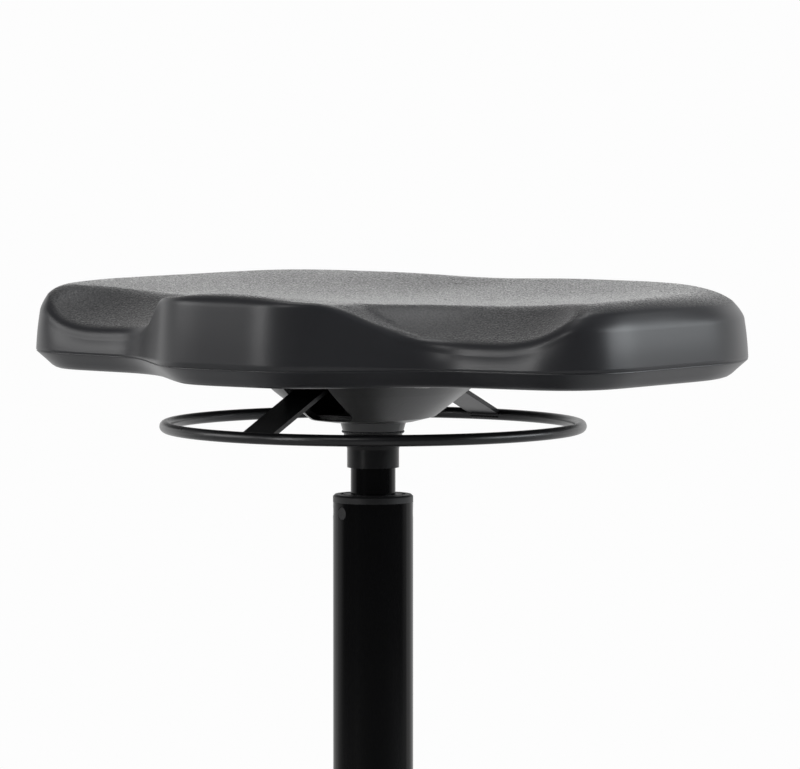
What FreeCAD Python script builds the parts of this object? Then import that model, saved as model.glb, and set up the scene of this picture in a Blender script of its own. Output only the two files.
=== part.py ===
import FreeCAD, Part
import math
import os
import Sketcher

# Perch stool: a contoured seat on a gas lift, a round weighted rocker base and a ring
# under the seat that releases the lift from any side.
# Millimetres. Origin on the floor on the column axis, +Z up, the seat's front horn towards -Y.
# Modelled at rest: the lift fully down.

doc = FreeCAD.newDocument("perch_stool")
sheet = doc.addObject("Spreadsheet::Sheet", "Sizes")

# Driving sizes: alias, value, meaning
SIZES = (
    # Overall
    ("ring_height", 505.0, "centre of the release ring above the floor, lift down"),
    ("stroke", 255.0, "travel of the gas lift"),
    # Release ring and its bar
    ("ring_radius", 129.5, "ring centreline"),
    ("ring_rod_radius", 3.6, "half the thickness of the ring's rod"),
    ("bar_width", 22.5, "strip across the ring"),
    ("bar_thick", 3.0, "strip thickness"),
    ("bar_rise", 26.5, "middle of the level part of the bar above the ring"),
    ("bar_level_half", 66.0, "half length of the level part of the bar"),
    ("bar_angle", 22.5, "slope of the bar's arms, degrees"),
    ("weld_gap", 0.05, "joint between the bar's ends and the ring"),
    # Fulcrum beads and gas lift pin
    ("fulcrum_reach", 55.0, "fulcrum bead from the column axis"),
    ("fulcrum_radius", 3.0, "rounding of the fulcrum bead"),
    ("bead_half_length", 15.0, "half length of each bead"),
    ("touch_gap", 0.3, "free play between the bar and the beads and pin"),
    ("pin_radius", 4.0, "head of the release pin"),
    ("pin_stem_radius", 2.2, "stem of the release pin"),
    ("pin_travel_room", 4.5, "room for the pin's travel"),
    ("pin_head_sink", 9.0, "underside of the pin's head below the valve body's top"),
    ("pin_crown", 1.5, "height of the pin head's rounded end"),
    ("pin_crown_radius", 3.0, "pin head's radius near its end"),
    ("pin_crown_drop", 0.5, "that radius below the end"),
    ("pin_flat_radius", 1.6, "flat end of the pin head"),
    ("pin_low", 14.0, "lower end of the release pin above the valve body's shoulder"),
    ("pin_play", 0.05, "running fit of the pin"),
    # Column and guide bush
    ("cap_drop", 42.5, "guide cap's top below the ring"),
    ("cap_height", 4.8, "height of the guide bush's cap"),
    ("cap_chamfer", 1.2, "edge of the cap"),
    ("cap_groove_radius", 18.5, "inner radius of the groove on the cap"),
    ("cap_groove_width", 2.0, "width of the groove on the cap"),
    ("cap_groove_depth", 0.6, "depth of the groove on the cap"),
    ("tube_radius", 25.0, "stand tube, outside"),
    ("tube_wall", 1.75, "stand tube wall"),
    ("tube_low", 12.0, "lower end of the stand tube above the floor"),
    ("tube_low_radius", 24.2, "small end of the stand tube's taper"),
    ("taper_top", 75.0, "top of the stand tube's taper above the floor"),
    ("tube_lip_radius", 20.0, "opening in the stand tube's lower lip"),
    ("tube_lip", 1.0, "thickness of the lower lip"),
    ("bush_length", 76.0, "guide bush below the cap"),
    ("bush_seat_gap", 0.05, "guide bush in the stand tube"),
    ("bush_play", 0.08, "running fit of the gas cylinder in the bush"),
    ("bush_land", 14.0, "length of each guiding land in the bush"),
    ("bush_relief", 0.8, "depth of the grease space between the lands"),
    ("snap_drop", 11.2, "snap lugs below the cap's top"),
    ("snap_radius", 3.9, "radius of a snap lug"),
    ("snap_gap", 0.1, "snap lug in its hole"),
    ("snap_root", 0.8, "root of a snap lug inside the bush wall"),
    ("snap_proud", 0.3, "snap lug's face under the tube's surface"),
    ("snap_first", -108.0, "first lug seen from above, degrees from +X"),
    ("snap_step", 36.0, "angle between the two lugs of a pair, degrees"),
    # Gas cylinder
    ("cylinder_radius", 14.0, "pressure tube, outside"),
    ("cylinder_wall", 1.8, "pressure tube wall"),
    ("cylinder_cone_drop", 22.0, "start of the mounting cone below the ring"),
    ("cylinder_top_rise", 15.7, "top of the pressure tube above the ring"),
    ("cylinder_top_radius", 13.1, "small end of the mounting cone"),
    ("cylinder_top_wall", 1.7, "wall at the mounting cone"),
    ("crimp_radius", 9.0, "opening in the crimped ends"),
    ("crimp_thick", 1.2, "thickness of the crimped ends"),
    ("liner_radius", 10.0, "bore of the inner cylinder"),
    ("liner_wall", 1.0, "wall of the inner cylinder"),
    ("spigot_gap", 0.05, "spigots in the inner cylinder"),
    ("spigot_length", 4.0, "length of the spigots"),
    ("guide_height", 16.5, "rod guide"),
    ("rod_seal_height", 5.0, "rod seal"),
    ("rod_seal_radius", 8.5, "pocket of the rod seal"),
    ("rod_seal_start", 0.8, "rod seal above the guide's foot"),
    ("inner_gap", 0.1, "pieces inside the pressure tube"),
    ("valve_length", 66.0, "valve body, from the crimp down"),
    ("valve_wide_length", 25.0, "wide lower part of the valve body"),
    ("valve_neck_radius", 11.3, "upper part of the valve body"),
    ("oring_radius", 0.95, "half thickness of an O-ring"),
    ("oring_room", 0.25, "groove wider than the O-ring, each side"),
    ("oring_first", 5.0, "first O-ring above the valve body's shoulder"),
    ("oring_step", 14.0, "distance between the O-rings"),
    # Piston and rod
    ("rod_radius", 5.0, "piston rod"),
    ("rod_stub_radius", 4.0, "stub at the rod's lower end, and its threaded top"),
    ("rod_low", 9.0, "lower end of the rod above the floor"),
    ("rod_play", 0.05, "running fit of the rod in its guide"),
    ("top_stop_gap", 2.0, "piston above the rod guide with the lift fully up"),
    ("piston_height", 10.0, "piston"),
    ("piston_gap", 0.25, "piston in the inner cylinder"),
    ("seal_groove_height", 4.0, "groove of the piston's seal"),
    ("seal_groove_depth", 1.6, "depth of the piston's seal groove"),
    ("seal_gap", 0.05, "seals against the wall they run on"),
    ("nut_height", 4.0, "nut on top of the piston"),
    ("nut_flats", 13.0, "piston nut across its flats"),
    ("thread_gap", 0.05, "threads, drawn as plain shanks in plain holes"),
    ("rod_end_over", 2.0, "rod above its nut"),
    ("rod_chamfer", 0.6, "edge of the rod's lower end"),
    ("clip_thick", 1.0, "retaining clip"),
    ("clip_radius", 7.5, "retaining clip, outside"),
    ("clip_groove_depth", 0.65, "groove for the clip"),
    ("clip_opening", 50.0, "open part of the clip, degrees"),
    ("clip_gap", 0.15, "clip under the stand tube's lip"),
    ("clip_groove_gap", 0.05, "clip in its groove"),
    # Thrust bearing
    ("bottom_plate_thick", 3.0, "plate in the tube's foot"),
    ("bottom_plate_gap", 0.1, "plate inside the tube"),
    ("bottom_hole_gap", 0.6, "rod stub in the plate's hole"),
    ("race_thick", 1.6, "bearing washers"),
    ("race_radius", 11.0, "bearing washers, outside"),
    ("race_hole_gap", 0.3, "rod stub in the lower washer"),
    ("race_seat_gap", 0.05, "rod stub in the upper washer"),
    ("ball_radius", 1.5, "bearing balls"),
    ("ball_pitch_radius", 7.8, "circle of ball centres"),
    ("ball_count", 9, "number of balls"),
    ("ball_play", 0.02, "balls between the washers"),
    ("cage_thick", 1.6, "ball cage"),
    ("cage_inside_radius", 5.3, "ball cage, inside"),
    ("cage_outside_radius", 10.6, "ball cage, outside"),
    ("cage_pocket_gap", 0.08, "balls in the cage"),
    ("bumper_height", 15.0, "rubber stop for the lowest position"),
    ("bumper_radius", 12.5, "rubber stop, outside"),
    ("bumper_waist", 2.0, "depth of the rubber stop's waist"),
    ("bumper_gap", 0.3, "rubber stop round the rod and under the cylinder"),
    # Taper socket
    ("socket_drop", 25.7, "socket's lower end below the ring"),
    ("socket_radius", 16.2, "socket, outside"),
    ("socket_cone_drop", 14.2, "start of the socket's widening below the ring"),
    ("socket_shoulder_drop", 3.1, "shoulder that carries the hub, below the ring"),
    ("socket_shoulder_radius", 18.7, "shoulder's outside"),
    ("socket_stub_radius", 16.6, "socket inside the hub"),
    ("socket_top_rise", 16.0, "socket's top above the ring"),
    ("cone_gap", 0.03, "mounting cone in its socket"),
    ("hub_bore_gap", 0.1, "socket in the hub"),
    # Hub bowl
    ("collar_low_radius", 18.9, "hub collar, lower edge"),
    ("collar_top_radius", 20.7, "hub collar, upper edge"),
    ("collar_top_rise", 3.0, "top of the collar above the ring"),
    ("boss_inside_rise", 14.0, "top of the boss inside the bowl"),
    ("boss_inside_radius", 19.6, "boss inside the bowl"),
    ("bowl_base_side", 25.0, "flat base of the bowl, half width"),
    ("bowl_base_long", 29.0, "flat base of the bowl, half length"),
    ("bowl_low_rise", 5.4, "lower edge of the bowl above the ring"),
    ("bowl_low_side", 33.5, "bowl's half width there, sideways"),
    ("bowl_low_long", 49.0, "bowl's half length there, along the bar"),
    ("bowl_mid_rise", 21.8, "second level of the bowl"),
    ("bowl_mid_side", 54.5, "half width there"),
    ("bowl_mid_long", 71.0, "half length there"),
    ("bowl_rim_side", 70.0, "half width at the rim"),
    ("bowl_rim_long", 86.5, "half length at the rim"),
    ("bowl_wall", 3.5, "bowl wall"),
    ("bowl_floor", 3.0, "bowl floor"),
    ("window_half_width", 17.0, "half width of the openings for the bar"),
    ("window_start", 38.0, "inner end of each opening, from the axis"),
    ("window_rise", 5.9, "lower edge of the openings above the ring"),
    ("window_rounding", 4.5, "lower corners of the openings"),
    # Mounting plate and its fasteners
    ("plate_rise", 34.5, "underside of the mounting plate above the ring"),
    ("plate_thick", 4.0, "mounting plate"),
    ("plate_half_side", 84.0, "mounting plate, half width"),
    ("plate_half_long", 92.0, "mounting plate, half length"),
    ("plate_corner_side", 34.0, "cut corner, sideways"),
    ("plate_corner_long", 28.0, "cut corner, lengthways"),
    ("plate_rounding", 10.0, "rounding of the plate's corners"),
    ("bolt_side", 70.0, "seat screws from the axis, sideways"),
    ("bolt_long", 50.0, "seat screws from the axis, lengthways"),
    ("screw_radius", 4.0, "seat screws"),
    ("screw_hole_gap", 0.5, "seat screws in the plate"),
    ("screw_length", 18.0, "seat screws under the head"),
    ("screw_head_radius", 7.0, "screw heads"),
    ("screw_head_height", 4.0, "screw heads"),
    ("screw_head_rounding", 2.0, "edge of the screw heads"),
    ("screw_key", 5.0, "hexagon socket across its flats"),
    ("screw_key_depth", 2.2, "depth of the hexagon socket"),
    ("washer_radius", 8.0, "washers"),
    ("washer_thick", 1.2, "washers"),
    ("washer_gap", 0.3, "screws in the washers"),
    # Seat board
    ("board_thick", 12.0, "plywood board in the seat"),
    ("board_half_width", 122.0, "board, half width"),
    ("board_front", 75.0, "board's front edge from the axis"),
    ("board_back", 112.0, "board's back edge from the axis"),
    ("board_rounding", 35.0, "board's corners"),
    ("tee_flange_radius", 9.0, "T-nut flange"),
    ("tee_flange_thick", 1.3, "T-nut flange"),
    ("tee_barrel_radius", 5.2, "T-nut barrel"),
    ("tee_barrel_length", 9.0, "T-nut barrel"),
    ("tee_gap", 0.05, "T-nut barrel in the board"),
    # Seat pad, one moulding
    ("pad_low_rise", 32.5, "underside of the pad above the ring"),
    ("pad_edge_rise", 44.0, "moulding's parting line above the ring"),
    ("pad_chamfer", 13.0, "underside inside the parting line"),
    ("pad_wall_rise", 70.0, "top of the upright wall at the sides"),
    ("pad_height", 57.5, "pad from its underside to its top"),
    ("pad_wall_draft", 3.0, "lean of the upright wall"),
    ("pad_shoulder", 36.0, "width of the rounded shoulder"),
    ("horn_half_width", 42.0, "front horn's corner, sideways"),
    ("horn_front", 167.0, "front horn's corner from the axis"),
    ("horn_rounding", 27.0, "front horn's corners"),
    ("horn_edge", 10.0, "rounding of the horn's upper edge"),
    ("waist_side", 112.0, "root of the horn, sideways"),
    ("waist_front", 97.0, "root of the horn from the axis"),
    ("waist_rounding", 58.0, "hollow at the root of the horn"),
    ("lobe_side", 217.0, "front corner of a side lobe, sideways"),
    ("lobe_front", 86.0, "front corner of a side lobe from the axis"),
    ("lobe_rounding", 52.0, "front corner of a side lobe"),
    ("back_side", 231.0, "back corner, sideways"),
    ("back_reach", 162.0, "back corner from the axis"),
    ("back_rounding", 112.0, "back corner"),
    ("thigh_side", 142.0, "centre of a thigh hollow, sideways"),
    ("thigh_half_width", 66.0, "half width of a thigh hollow at the pad's top"),
    ("thigh_rim_rise", 60.0, "bottom of the hollow at the pad's edge, above the ring"),
    ("thigh_depth", 60.0, "length of the hollow from the edge inwards"),
    ("thigh_turn", 9.0, "turn of the hollow seen from above, degrees"),
    ("thigh_flare", 2.0, "rise of the hollow's sides past the pad's top"),
    ("thigh_outer_reach", 30.0, "hollow's outer section in front of the edge"),
    ("thigh_outer_rise", 56.0, "bottom of the outer section above the ring"),
    ("thigh_outer_half", 72.6, "half width of the outer section"),
    ("thigh_inner_reach", 33.0, "hollow's inner section behind the edge"),
    ("thigh_inner_rise", 72.6, "bottom of the inner section above the ring"),
    ("thigh_inner_half", 60.7, "half width of the inner section"),
    ("thigh_end_half", 52.8, "half width where the hollow runs out"),
    ("thigh_end_over", 0.5, "its bottom there past the pad's top"),
    ("dish_radius", 112.0, "round dish in the top"),
    ("dish_depth", 7.0, "depth of the dish"),
    ("dish_back", 10.0, "centre of the dish behind the axis"),
    ("channel_half_width", 50.0, "tailbone channel in the back edge"),
    ("channel_depth", 6.0, "depth of the channel"),
    ("channel_start", 60.0, "front end of the channel from the axis"),
    ("pad_gap", 0.3, "pad round the board"),
    ("recess_gap", 2.0, "pad round the mounting plate"),
    # Base
    ("tread_radius", 184.0, "rubber tread, outside"),
    ("tread_flat", 120.0, "flat part that stands on the floor"),
    ("tread_lift", 9.0, "tread's rim above the floor"),
    ("tread_thick", 5.0, "tread"),
    ("tread_lip", 3.0, "thickness of the lip round the shell"),
    ("tread_lip_height", 12.0, "height of the lip"),
    ("tread_rounding", 1.0, "outer edges of the lip"),
    ("weight_top", 24.0, "top of the cast weight above the floor"),
    ("weight_gap", 5.7, "cast weight inside the shell's wall"),
    ("weight_cone_gap", 0.4, "weight over the tread's sloping rim"),
    ("weight_edge", 1.5, "rounding of the weight's upper edge"),
    ("shell_wall", 3.0, "base shell"),
    ("shell_gap", 0.3, "shell inside the lip and over the tread"),
    ("shell_side_top", 26.0, "top of the shell's upright edge above the floor"),
    ("shell_corner_in", 9.0, "shell's sloping corner, inwards"),
    ("shell_corner_up", 7.0, "shell's sloping corner, upwards"),
    ("shell_foot_radius", 60.0, "foot of the shell's neck"),
    ("shell_foot_height", 47.0, "foot of the neck above the floor"),
    ("shell_neck_radius", 38.0, "lower neck"),
    ("shell_neck_height", 62.0, "lower neck above the floor"),
    ("shell_top_radius", 35.0, "top of the neck"),
    ("shell_top", 84.0, "top of the neck above the floor"),
    ("shell_edge_rounding", 5.0, "rounding of the shell's outer edges"),
    ("shell_sweep_rounding", 28.0, "sweep from the dome into the neck"),
    ("boss_radius", 6.0, "screw bosses under the shell"),
    ("boss_pitch", 145.0, "screw bosses from the axis"),
    ("shell_screw_radius", 2.5, "shell screws"),
    ("shell_screw_tip_gap", 3.4, "shell screws' tips below the ends of their holes"),
    ("shell_screw_sink", 3.0, "shell screw heads above the weight's underside"),
    ("shell_screw_head", 5.0, "shell screw heads, radius"),
    ("shell_screw_cone", 2.8, "height of the countersunk heads"),
    ("shell_screw_gap", 0.3, "screws in the weight"),
    ("shell_screw_grip", 0.02, "screws in the bosses"),
    ("barrel_radius", 30.0, "base socket's barrel"),
    ("barrel_low", 10.0, "barrel's lower end above the floor"),
    ("barrel_top", 80.0, "barrel's upper end above the floor"),
    ("barrel_gap", 0.4, "barrel in the weight"),
    ("flange_radius", 58.0, "base socket's flange"),
    ("flange_thick", 6.0, "base socket's flange"),
    ("flange_weld", 4.0, "weld fillet between flange and barrel"),
    ("base_bolt_pitch", 44.0, "base bolts from the axis"),
    ("base_bolt_radius", 5.0, "base bolts"),
    ("base_bolt_length", 20.0, "base bolts under the head"),
    ("base_bolt_flats", 16.0, "base bolt heads across the flats"),
    ("base_bolt_head", 6.4, "base bolt heads"),
    ("base_bolt_gap", 0.5, "bolts in the flange"),
    ("base_thread_gap", 0.05, "bolts in the weight"),
    ("base_thread_end", 0.3, "tapped holes deeper than their bolts"),
    ("collar_height", 11.0, "trim collar on the shell's neck"),
    ("collar_radius", 38.5, "trim collar"),
    ("collar_lip", 3.0, "upright edge of the trim collar"),
    ("collar_shoulder", 5.0, "sloping top of the trim collar, inwards"),
    ("collar_play", 0.15, "trim collar round the stand tube"),
    ("collar_roof", 2.5, "top face of the trim collar round the tube"),
)

for line, (alias, value, meaning) in enumerate(SIZES, start=1):
    sheet.set("A%d" % line, alias)
    sheet.set("B%d" % line, str(value))
    sheet.set("C%d" % line, meaning)
    sheet.setAlias("B%d" % line, alias)
doc.recompute()


class Length:
    """A size with the cell formula that gives it, so that features can be bound to it."""

    def __init__(self, text, value):
        self.text = text
        self.value = value

    def joined(self, sign, other, value):
        return Length("(%s %s %s)" % (self.text, sign, as_length(other).text), value)

    def __add__(self, other):
        return self.joined("+", other, self.value + as_length(other).value)

    def __sub__(self, other):
        return self.joined("-", other, self.value - as_length(other).value)

    def __mul__(self, other):
        return self.joined("*", other, self.value * as_length(other).value)

    def __truediv__(self, other):
        return self.joined("/", other, self.value / as_length(other).value)

    def __neg__(self):
        return Length("(0 - %s)" % self.text, -self.value)


def as_length(number):
    """Plain numbers, such as a share or a count, join in as they are."""
    return number if isinstance(number, Length) else Length(repr(float(number)), float(number))


def tangent(angle):
    """Rise over run of an angle in degrees."""
    return Length("tan(%s * 1 deg)" % angle.text, math.tan(math.radians(angle.value)))


class Cells:
    """The sheet's sizes by name."""

    def __getattr__(self, alias):
        return Length("Sizes." + alias, float(sheet.get(alias)))


s = Cells()

# Heights that several pieces share
ring_z = s.ring_height
bar_top = ring_z + s.bar_rise + s.bar_thick / 2
bar_under = ring_z + s.bar_rise - s.bar_thick / 2
bead_z = bar_top + s.touch_gap + s.fulcrum_radius
pin_top = bar_under - s.touch_gap
plate_z = ring_z + s.plate_rise
board_z = plate_z + s.plate_thick
board_top = board_z + s.board_thick
pad_low = ring_z + s.pad_low_rise
pad_edge = ring_z + s.pad_edge_rise
pad_top = pad_low + s.pad_height
cap_top = ring_z - s.cap_drop
tube_top = cap_top - s.cap_height
bottom_plate_z = s.tube_low + s.tube_lip
lower_race_z = bottom_plate_z + s.bottom_plate_thick
ball_z = lower_race_z + s.race_thick + s.ball_play + s.ball_radius
upper_race_z = ball_z + s.ball_radius + s.ball_play
rod_shoulder_z = upper_race_z + s.race_thick
bumper_top = rod_shoulder_z + s.bumper_height
cylinder_low = bumper_top + s.bumper_gap
guide_z = cylinder_low + s.crimp_thick
guide_top = guide_z + s.guide_height
piston_z = guide_top + s.spigot_length + s.stroke + s.top_stop_gap
cylinder_top = ring_z + s.cylinder_top_rise
cone_start = ring_z - s.cylinder_cone_drop
valve_top = cylinder_top - s.crimp_thick
valve_low = valve_top - s.valve_length
weight_top = s.weight_top
flange_top = weight_top + s.flange_thick


# Sketch helpers

def plane_sketch(body, role, name, lift=None):
    """Sketch on one of the body's own origin planes, lifted along the plane's normal."""
    sketch = body.newObject("Sketcher::SketchObject", name)
    plane = [part for part in body.Origin.OriginFeatures if part.Role == role][0]
    sketch.AttachmentSupport = [(plane, "")]
    sketch.MapMode = "FlatFace"
    if lift is not None:
        sketch.AttachmentOffset = FreeCAD.Placement(
            FreeCAD.Vector(0, 0, lift.value), FreeCAD.Rotation())
        sketch.setExpression("AttachmentOffset.Base.z", lift.text)
    return sketch


def pin_point(sketch, shape, end, across, up):
    """Hold a sketch point at bound distances from the sketch's origin."""
    for kind, axis, length in (("DistanceX", -2, as_length(across)), ("DistanceY", -1, as_length(up))):
        if length.value == 0:
            sketch.addConstraint(Sketcher.Constraint("PointOnObject", shape, end, axis))
        else:
            number = sketch.addConstraint(
                Sketcher.Constraint(kind, -1, 1, shape, end, length.value))
            sketch.setExpression("Constraints[%d]" % number, length.text)


def trace(sketch, corners):
    """Closed outline of straight lines through (across, up) corners."""
    spots = [FreeCAD.Vector(as_length(a).value, as_length(b).value, 0) for a, b in corners]
    first = sketch.GeometryCount
    count = len(corners)
    for n in range(count):
        sketch.addGeometry(Part.LineSegment(spots[n], spots[(n + 1) % count]), False)
    for n in range(count):
        following = first + (n + 1) % count
        sketch.addConstraint(Sketcher.Constraint("Coincident", first + n, 2, following, 1))
    for n, (across, up) in enumerate(corners):
        pin_point(sketch, first + n, 1, across, up)


def ring_of(sketch, across, up, radius):
    """Circle with its centre and radius bound."""
    centre = FreeCAD.Vector(as_length(across).value, as_length(up).value, 0)
    shape = sketch.GeometryCount
    sketch.addGeometry(Part.Circle(centre, FreeCAD.Vector(0, 0, 1), radius.value), False)
    pin_point(sketch, shape, 3, across, up)
    number = sketch.addConstraint(Sketcher.Constraint("Radius", shape, radius.value))
    sketch.setExpression("Constraints[%d]" % number, radius.text)


def hexagon(across, up, flats):
    """Corners of a hexagon by its width across the flats."""
    reach = flats / (2 * math.cos(math.radians(30)))
    turns = [math.radians(60 * n) for n in range(6)]
    return [(across + reach * math.cos(a), as_length(up) + reach * math.sin(a)) for a in turns]


# Feature helpers

def new_body(name):
    body = doc.addObject("PartDesign::Body", name)
    body.Label = name
    return body


def revolve(body, sketch, name, groove=False):
    kind = "PartDesign::Groove" if groove else "PartDesign::Revolution"
    turn = body.newObject(kind, name)
    turn.Profile = sketch
    turn.ReferenceAxis = (sketch, ["V_Axis"])
    turn.Angle = 360
    return turn


def extrude(body, sketch, name, depth, cut=False, both_ways=False, flip=False):
    """Pad or pocket of a bound depth."""
    feature = body.newObject("PartDesign::Pocket" if cut else "PartDesign::Pad", name)
    feature.Profile = sketch
    feature.SideType = "Symmetric" if both_ways else "One side"
    feature.Reversed = flip
    feature.setExpression("Length", depth.text)
    return feature


def turned(name, corners):
    """A piece turned about the upright axis from (radius, height) corners."""
    body = new_body(name)
    sketch = plane_sketch(body, "XZ_Plane", name + "_outline")
    trace(sketch, corners)
    revolve(body, sketch, name + "_turn")
    return body


def spread(body, originals, name, count):
    """Repeat features round the upright axis."""
    pattern = body.newObject("PartDesign::PolarPattern", name)
    pattern.Originals = originals
    axis = [part for part in body.Origin.OriginFeatures if part.Role == "Z_Axis"][0]
    pattern.Axis = (axis, [""])
    pattern.Angle = 360
    if isinstance(count, Length):
        pattern.setExpression("Occurrences", count.text)
    else:
        pattern.Occurrences = count
    body.Tip = pattern


def corner_copies(body, originals, name):
    """Copies of a feature at (+x, +y) in the three other corners of a rectangle."""
    pattern = body.newObject("PartDesign::MultiTransform", name)
    pattern.Originals = originals
    mirrors = []
    for role in ("YZ_Plane", "XZ_Plane"):
        mirror = body.newObject("PartDesign::Mirrored", name + "_" + role[:2])
        plane = [part for part in body.Origin.OriginFeatures if part.Role == role][0]
        mirror.MirrorPlane = (plane, [""])
        mirrors.append(mirror)
    pattern.Transformations = mirrors
    body.Tip = pattern


def edge_names(shape, wanted):
    """Names of a shape's edges that the test picks."""
    return ["Edge%d" % (n + 1) for n, edge in enumerate(shape.Edges) if wanted(edge)]


def is_circle_at(edge, radius, height):
    """Round edge of this radius at this height about the upright axis."""
    curve = edge.Curve
    if not isinstance(curve, Part.Circle):
        return False
    same_radius = abs(curve.Radius - radius.value) < 0.02
    return same_radius and abs(curve.Center.z - height.value) < 0.02


def round_edges(body, name, radius, wanted):
    """Round the edges that the test picks."""
    doc.recompute()
    base = body.Tip
    names = edge_names(base.Shape, wanted)
    feature = body.newObject("PartDesign::Fillet", name)
    feature.Base = (base, names)
    feature.setExpression("Radius", radius.text)
    body.Tip = feature


# Base: tread, weight, shell and its screws

def base_tread():
    lip_top = s.tread_lift + s.tread_lip_height
    inside = s.tread_radius - s.tread_lip
    body = turned("base_tread", [
        (0, 0),
        (s.tread_flat, 0),
        (s.tread_radius, s.tread_lift),
        (s.tread_radius, lip_top),
        (inside, lip_top),
        (inside, tread_surface(inside)),
        (s.tread_flat, s.tread_thick),
        (0, s.tread_thick)])
    round_edges(body, "base_tread_rim", s.tread_rounding,
                lambda e: is_circle_at(e, s.tread_radius, lip_top)
                or is_circle_at(e, s.tread_radius, s.tread_lift))
    return body


def tread_surface(radius):
    """Height of the tread's upper face at a radius beyond its flat part."""
    slope = s.tread_lift / (s.tread_radius - s.tread_flat)
    return s.tread_thick + slope * (radius - s.tread_flat)


def base_weight():
    bore = s.barrel_radius + s.barrel_gap
    rim = s.tread_radius - s.tread_lip - s.shell_gap - s.shell_wall - s.weight_gap
    body = turned("base_weight", [
        (bore, s.tread_thick),
        (s.tread_flat, s.tread_thick),
        (s.tread_flat, s.tread_thick + s.weight_cone_gap),
        (rim, tread_surface(rim) + s.weight_cone_gap),
        (rim, weight_top),
        (bore, weight_top)])
    threads = plane_sketch(body, "XY_Plane", "base_weight_threads", weight_top)
    ring_of(threads, s.base_bolt_pitch, 0, s.base_bolt_radius + s.base_thread_gap)
    depth = s.base_bolt_length - s.flange_thick + s.base_thread_end
    tapped = extrude(body, threads, "base_weight_thread", depth, cut=True)
    spread(body, [tapped], "base_weight_thread_ring", 4)
    passing = plane_sketch(body, "XY_Plane", "base_weight_screw_holes", weight_top)
    ring_of(passing, s.boss_pitch, 0, s.shell_screw_radius + s.shell_screw_gap)
    through = extrude(body, passing, "base_weight_screw_hole", weight_top, cut=True)
    spread(body, [through], "base_weight_screw_ring", 3)
    seat = plane_sketch(body, "XY_Plane", "base_weight_head_holes", shell_screw_z())
    ring_of(seat, s.boss_pitch, 0, s.shell_screw_head + s.shell_screw_gap)
    sunk = extrude(body, seat, "base_weight_head_hole", shell_screw_z(), cut=True)
    spread(body, [sunk], "base_weight_head_ring", 3)
    round_edges(body, "base_weight_edge", s.weight_edge,
                lambda e: is_circle_at(e, rim, weight_top))
    return body


def shell_screw_z():
    """Top of the shell screws' heads, sunk in the weight's underside."""
    underside = tread_surface(s.boss_pitch) + s.weight_cone_gap
    return underside + s.shell_screw_sink + s.shell_screw_cone


def boss_hole_top():
    """End of the screw holes in the bosses, at the underside of the shell's slope."""
    corner_radius = s.tread_radius - s.tread_lip - s.shell_gap - s.shell_corner_in
    corner = s.shell_side_top + s.shell_corner_up
    slope = (s.shell_foot_height - corner) / (corner_radius - s.shell_foot_radius)
    return corner + slope * (corner_radius - s.boss_pitch) - s.shell_wall


def base_shell():
    outside = s.tread_radius - s.tread_lip - s.shell_gap
    inside = outside - s.shell_wall
    low = tread_surface(outside) + s.shell_gap
    corner = s.shell_side_top + s.shell_corner_up
    body = turned("base_shell", [
        (outside, low),
        (outside, s.shell_side_top),
        (outside - s.shell_corner_in, corner),
        (s.shell_foot_radius, s.shell_foot_height),
        (s.shell_neck_radius, s.shell_neck_height),
        (s.shell_top_radius, s.shell_top),
        (s.shell_top_radius - s.shell_wall, s.shell_top),
        (s.shell_neck_radius - s.shell_wall, s.shell_neck_height),
        (s.shell_foot_radius, s.shell_foot_height - s.shell_wall),
        (outside - s.shell_corner_in, corner - s.shell_wall),
        (inside, s.shell_side_top - s.shell_wall / 2),
        (inside, low)])
    feet = plane_sketch(body, "XY_Plane", "base_shell_bosses", weight_top)
    ring_of(feet, s.boss_pitch, 0, s.boss_radius)
    boss = extrude(body, feet, "base_shell_boss", boss_hole_top() + s.shell_wall / 2 - weight_top)
    spread(body, [boss], "base_shell_boss_ring", 3)
    holes = plane_sketch(body, "XY_Plane", "base_shell_boss_holes", weight_top)
    ring_of(holes, s.boss_pitch, 0, s.shell_screw_radius + s.shell_screw_grip)
    hole = extrude(body, holes, "base_shell_boss_hole", boss_hole_top() - weight_top,
                   cut=True, flip=True)
    spread(body, [hole], "base_shell_boss_hole_ring", 3)
    round_edges(body, "base_shell_edge", s.shell_edge_rounding,
                lambda e: is_circle_at(e, outside, s.shell_side_top)
                or is_circle_at(e, outside - s.shell_corner_in, corner))
    round_edges(body, "base_shell_sweep", s.shell_sweep_rounding,
                lambda e: is_circle_at(e, s.shell_foot_radius, s.shell_foot_height))
    return body


def shell_screws():
    """Three countersunk screws up through the weight into the shell's bosses."""
    body = new_body("shell_screws")
    shank = plane_sketch(body, "XY_Plane", "shell_screws_shank", shell_screw_z())
    ring_of(shank, s.boss_pitch, 0, s.shell_screw_radius)
    length = boss_hole_top() - s.shell_screw_tip_gap - shell_screw_z()
    post = extrude(body, shank, "shell_screws_post", length)
    heads = plane_sketch(body, "XY_Plane", "shell_screws_heads", shell_screw_z())
    ring_of(heads, s.boss_pitch, 0, s.shell_screw_head)
    head = extrude(body, heads, "shell_screws_head", s.shell_screw_cone, flip=True)
    spread(body, [post, head], "shell_screws_ring", 3)
    return body


# Base: socket, bolts and trim collar

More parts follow.
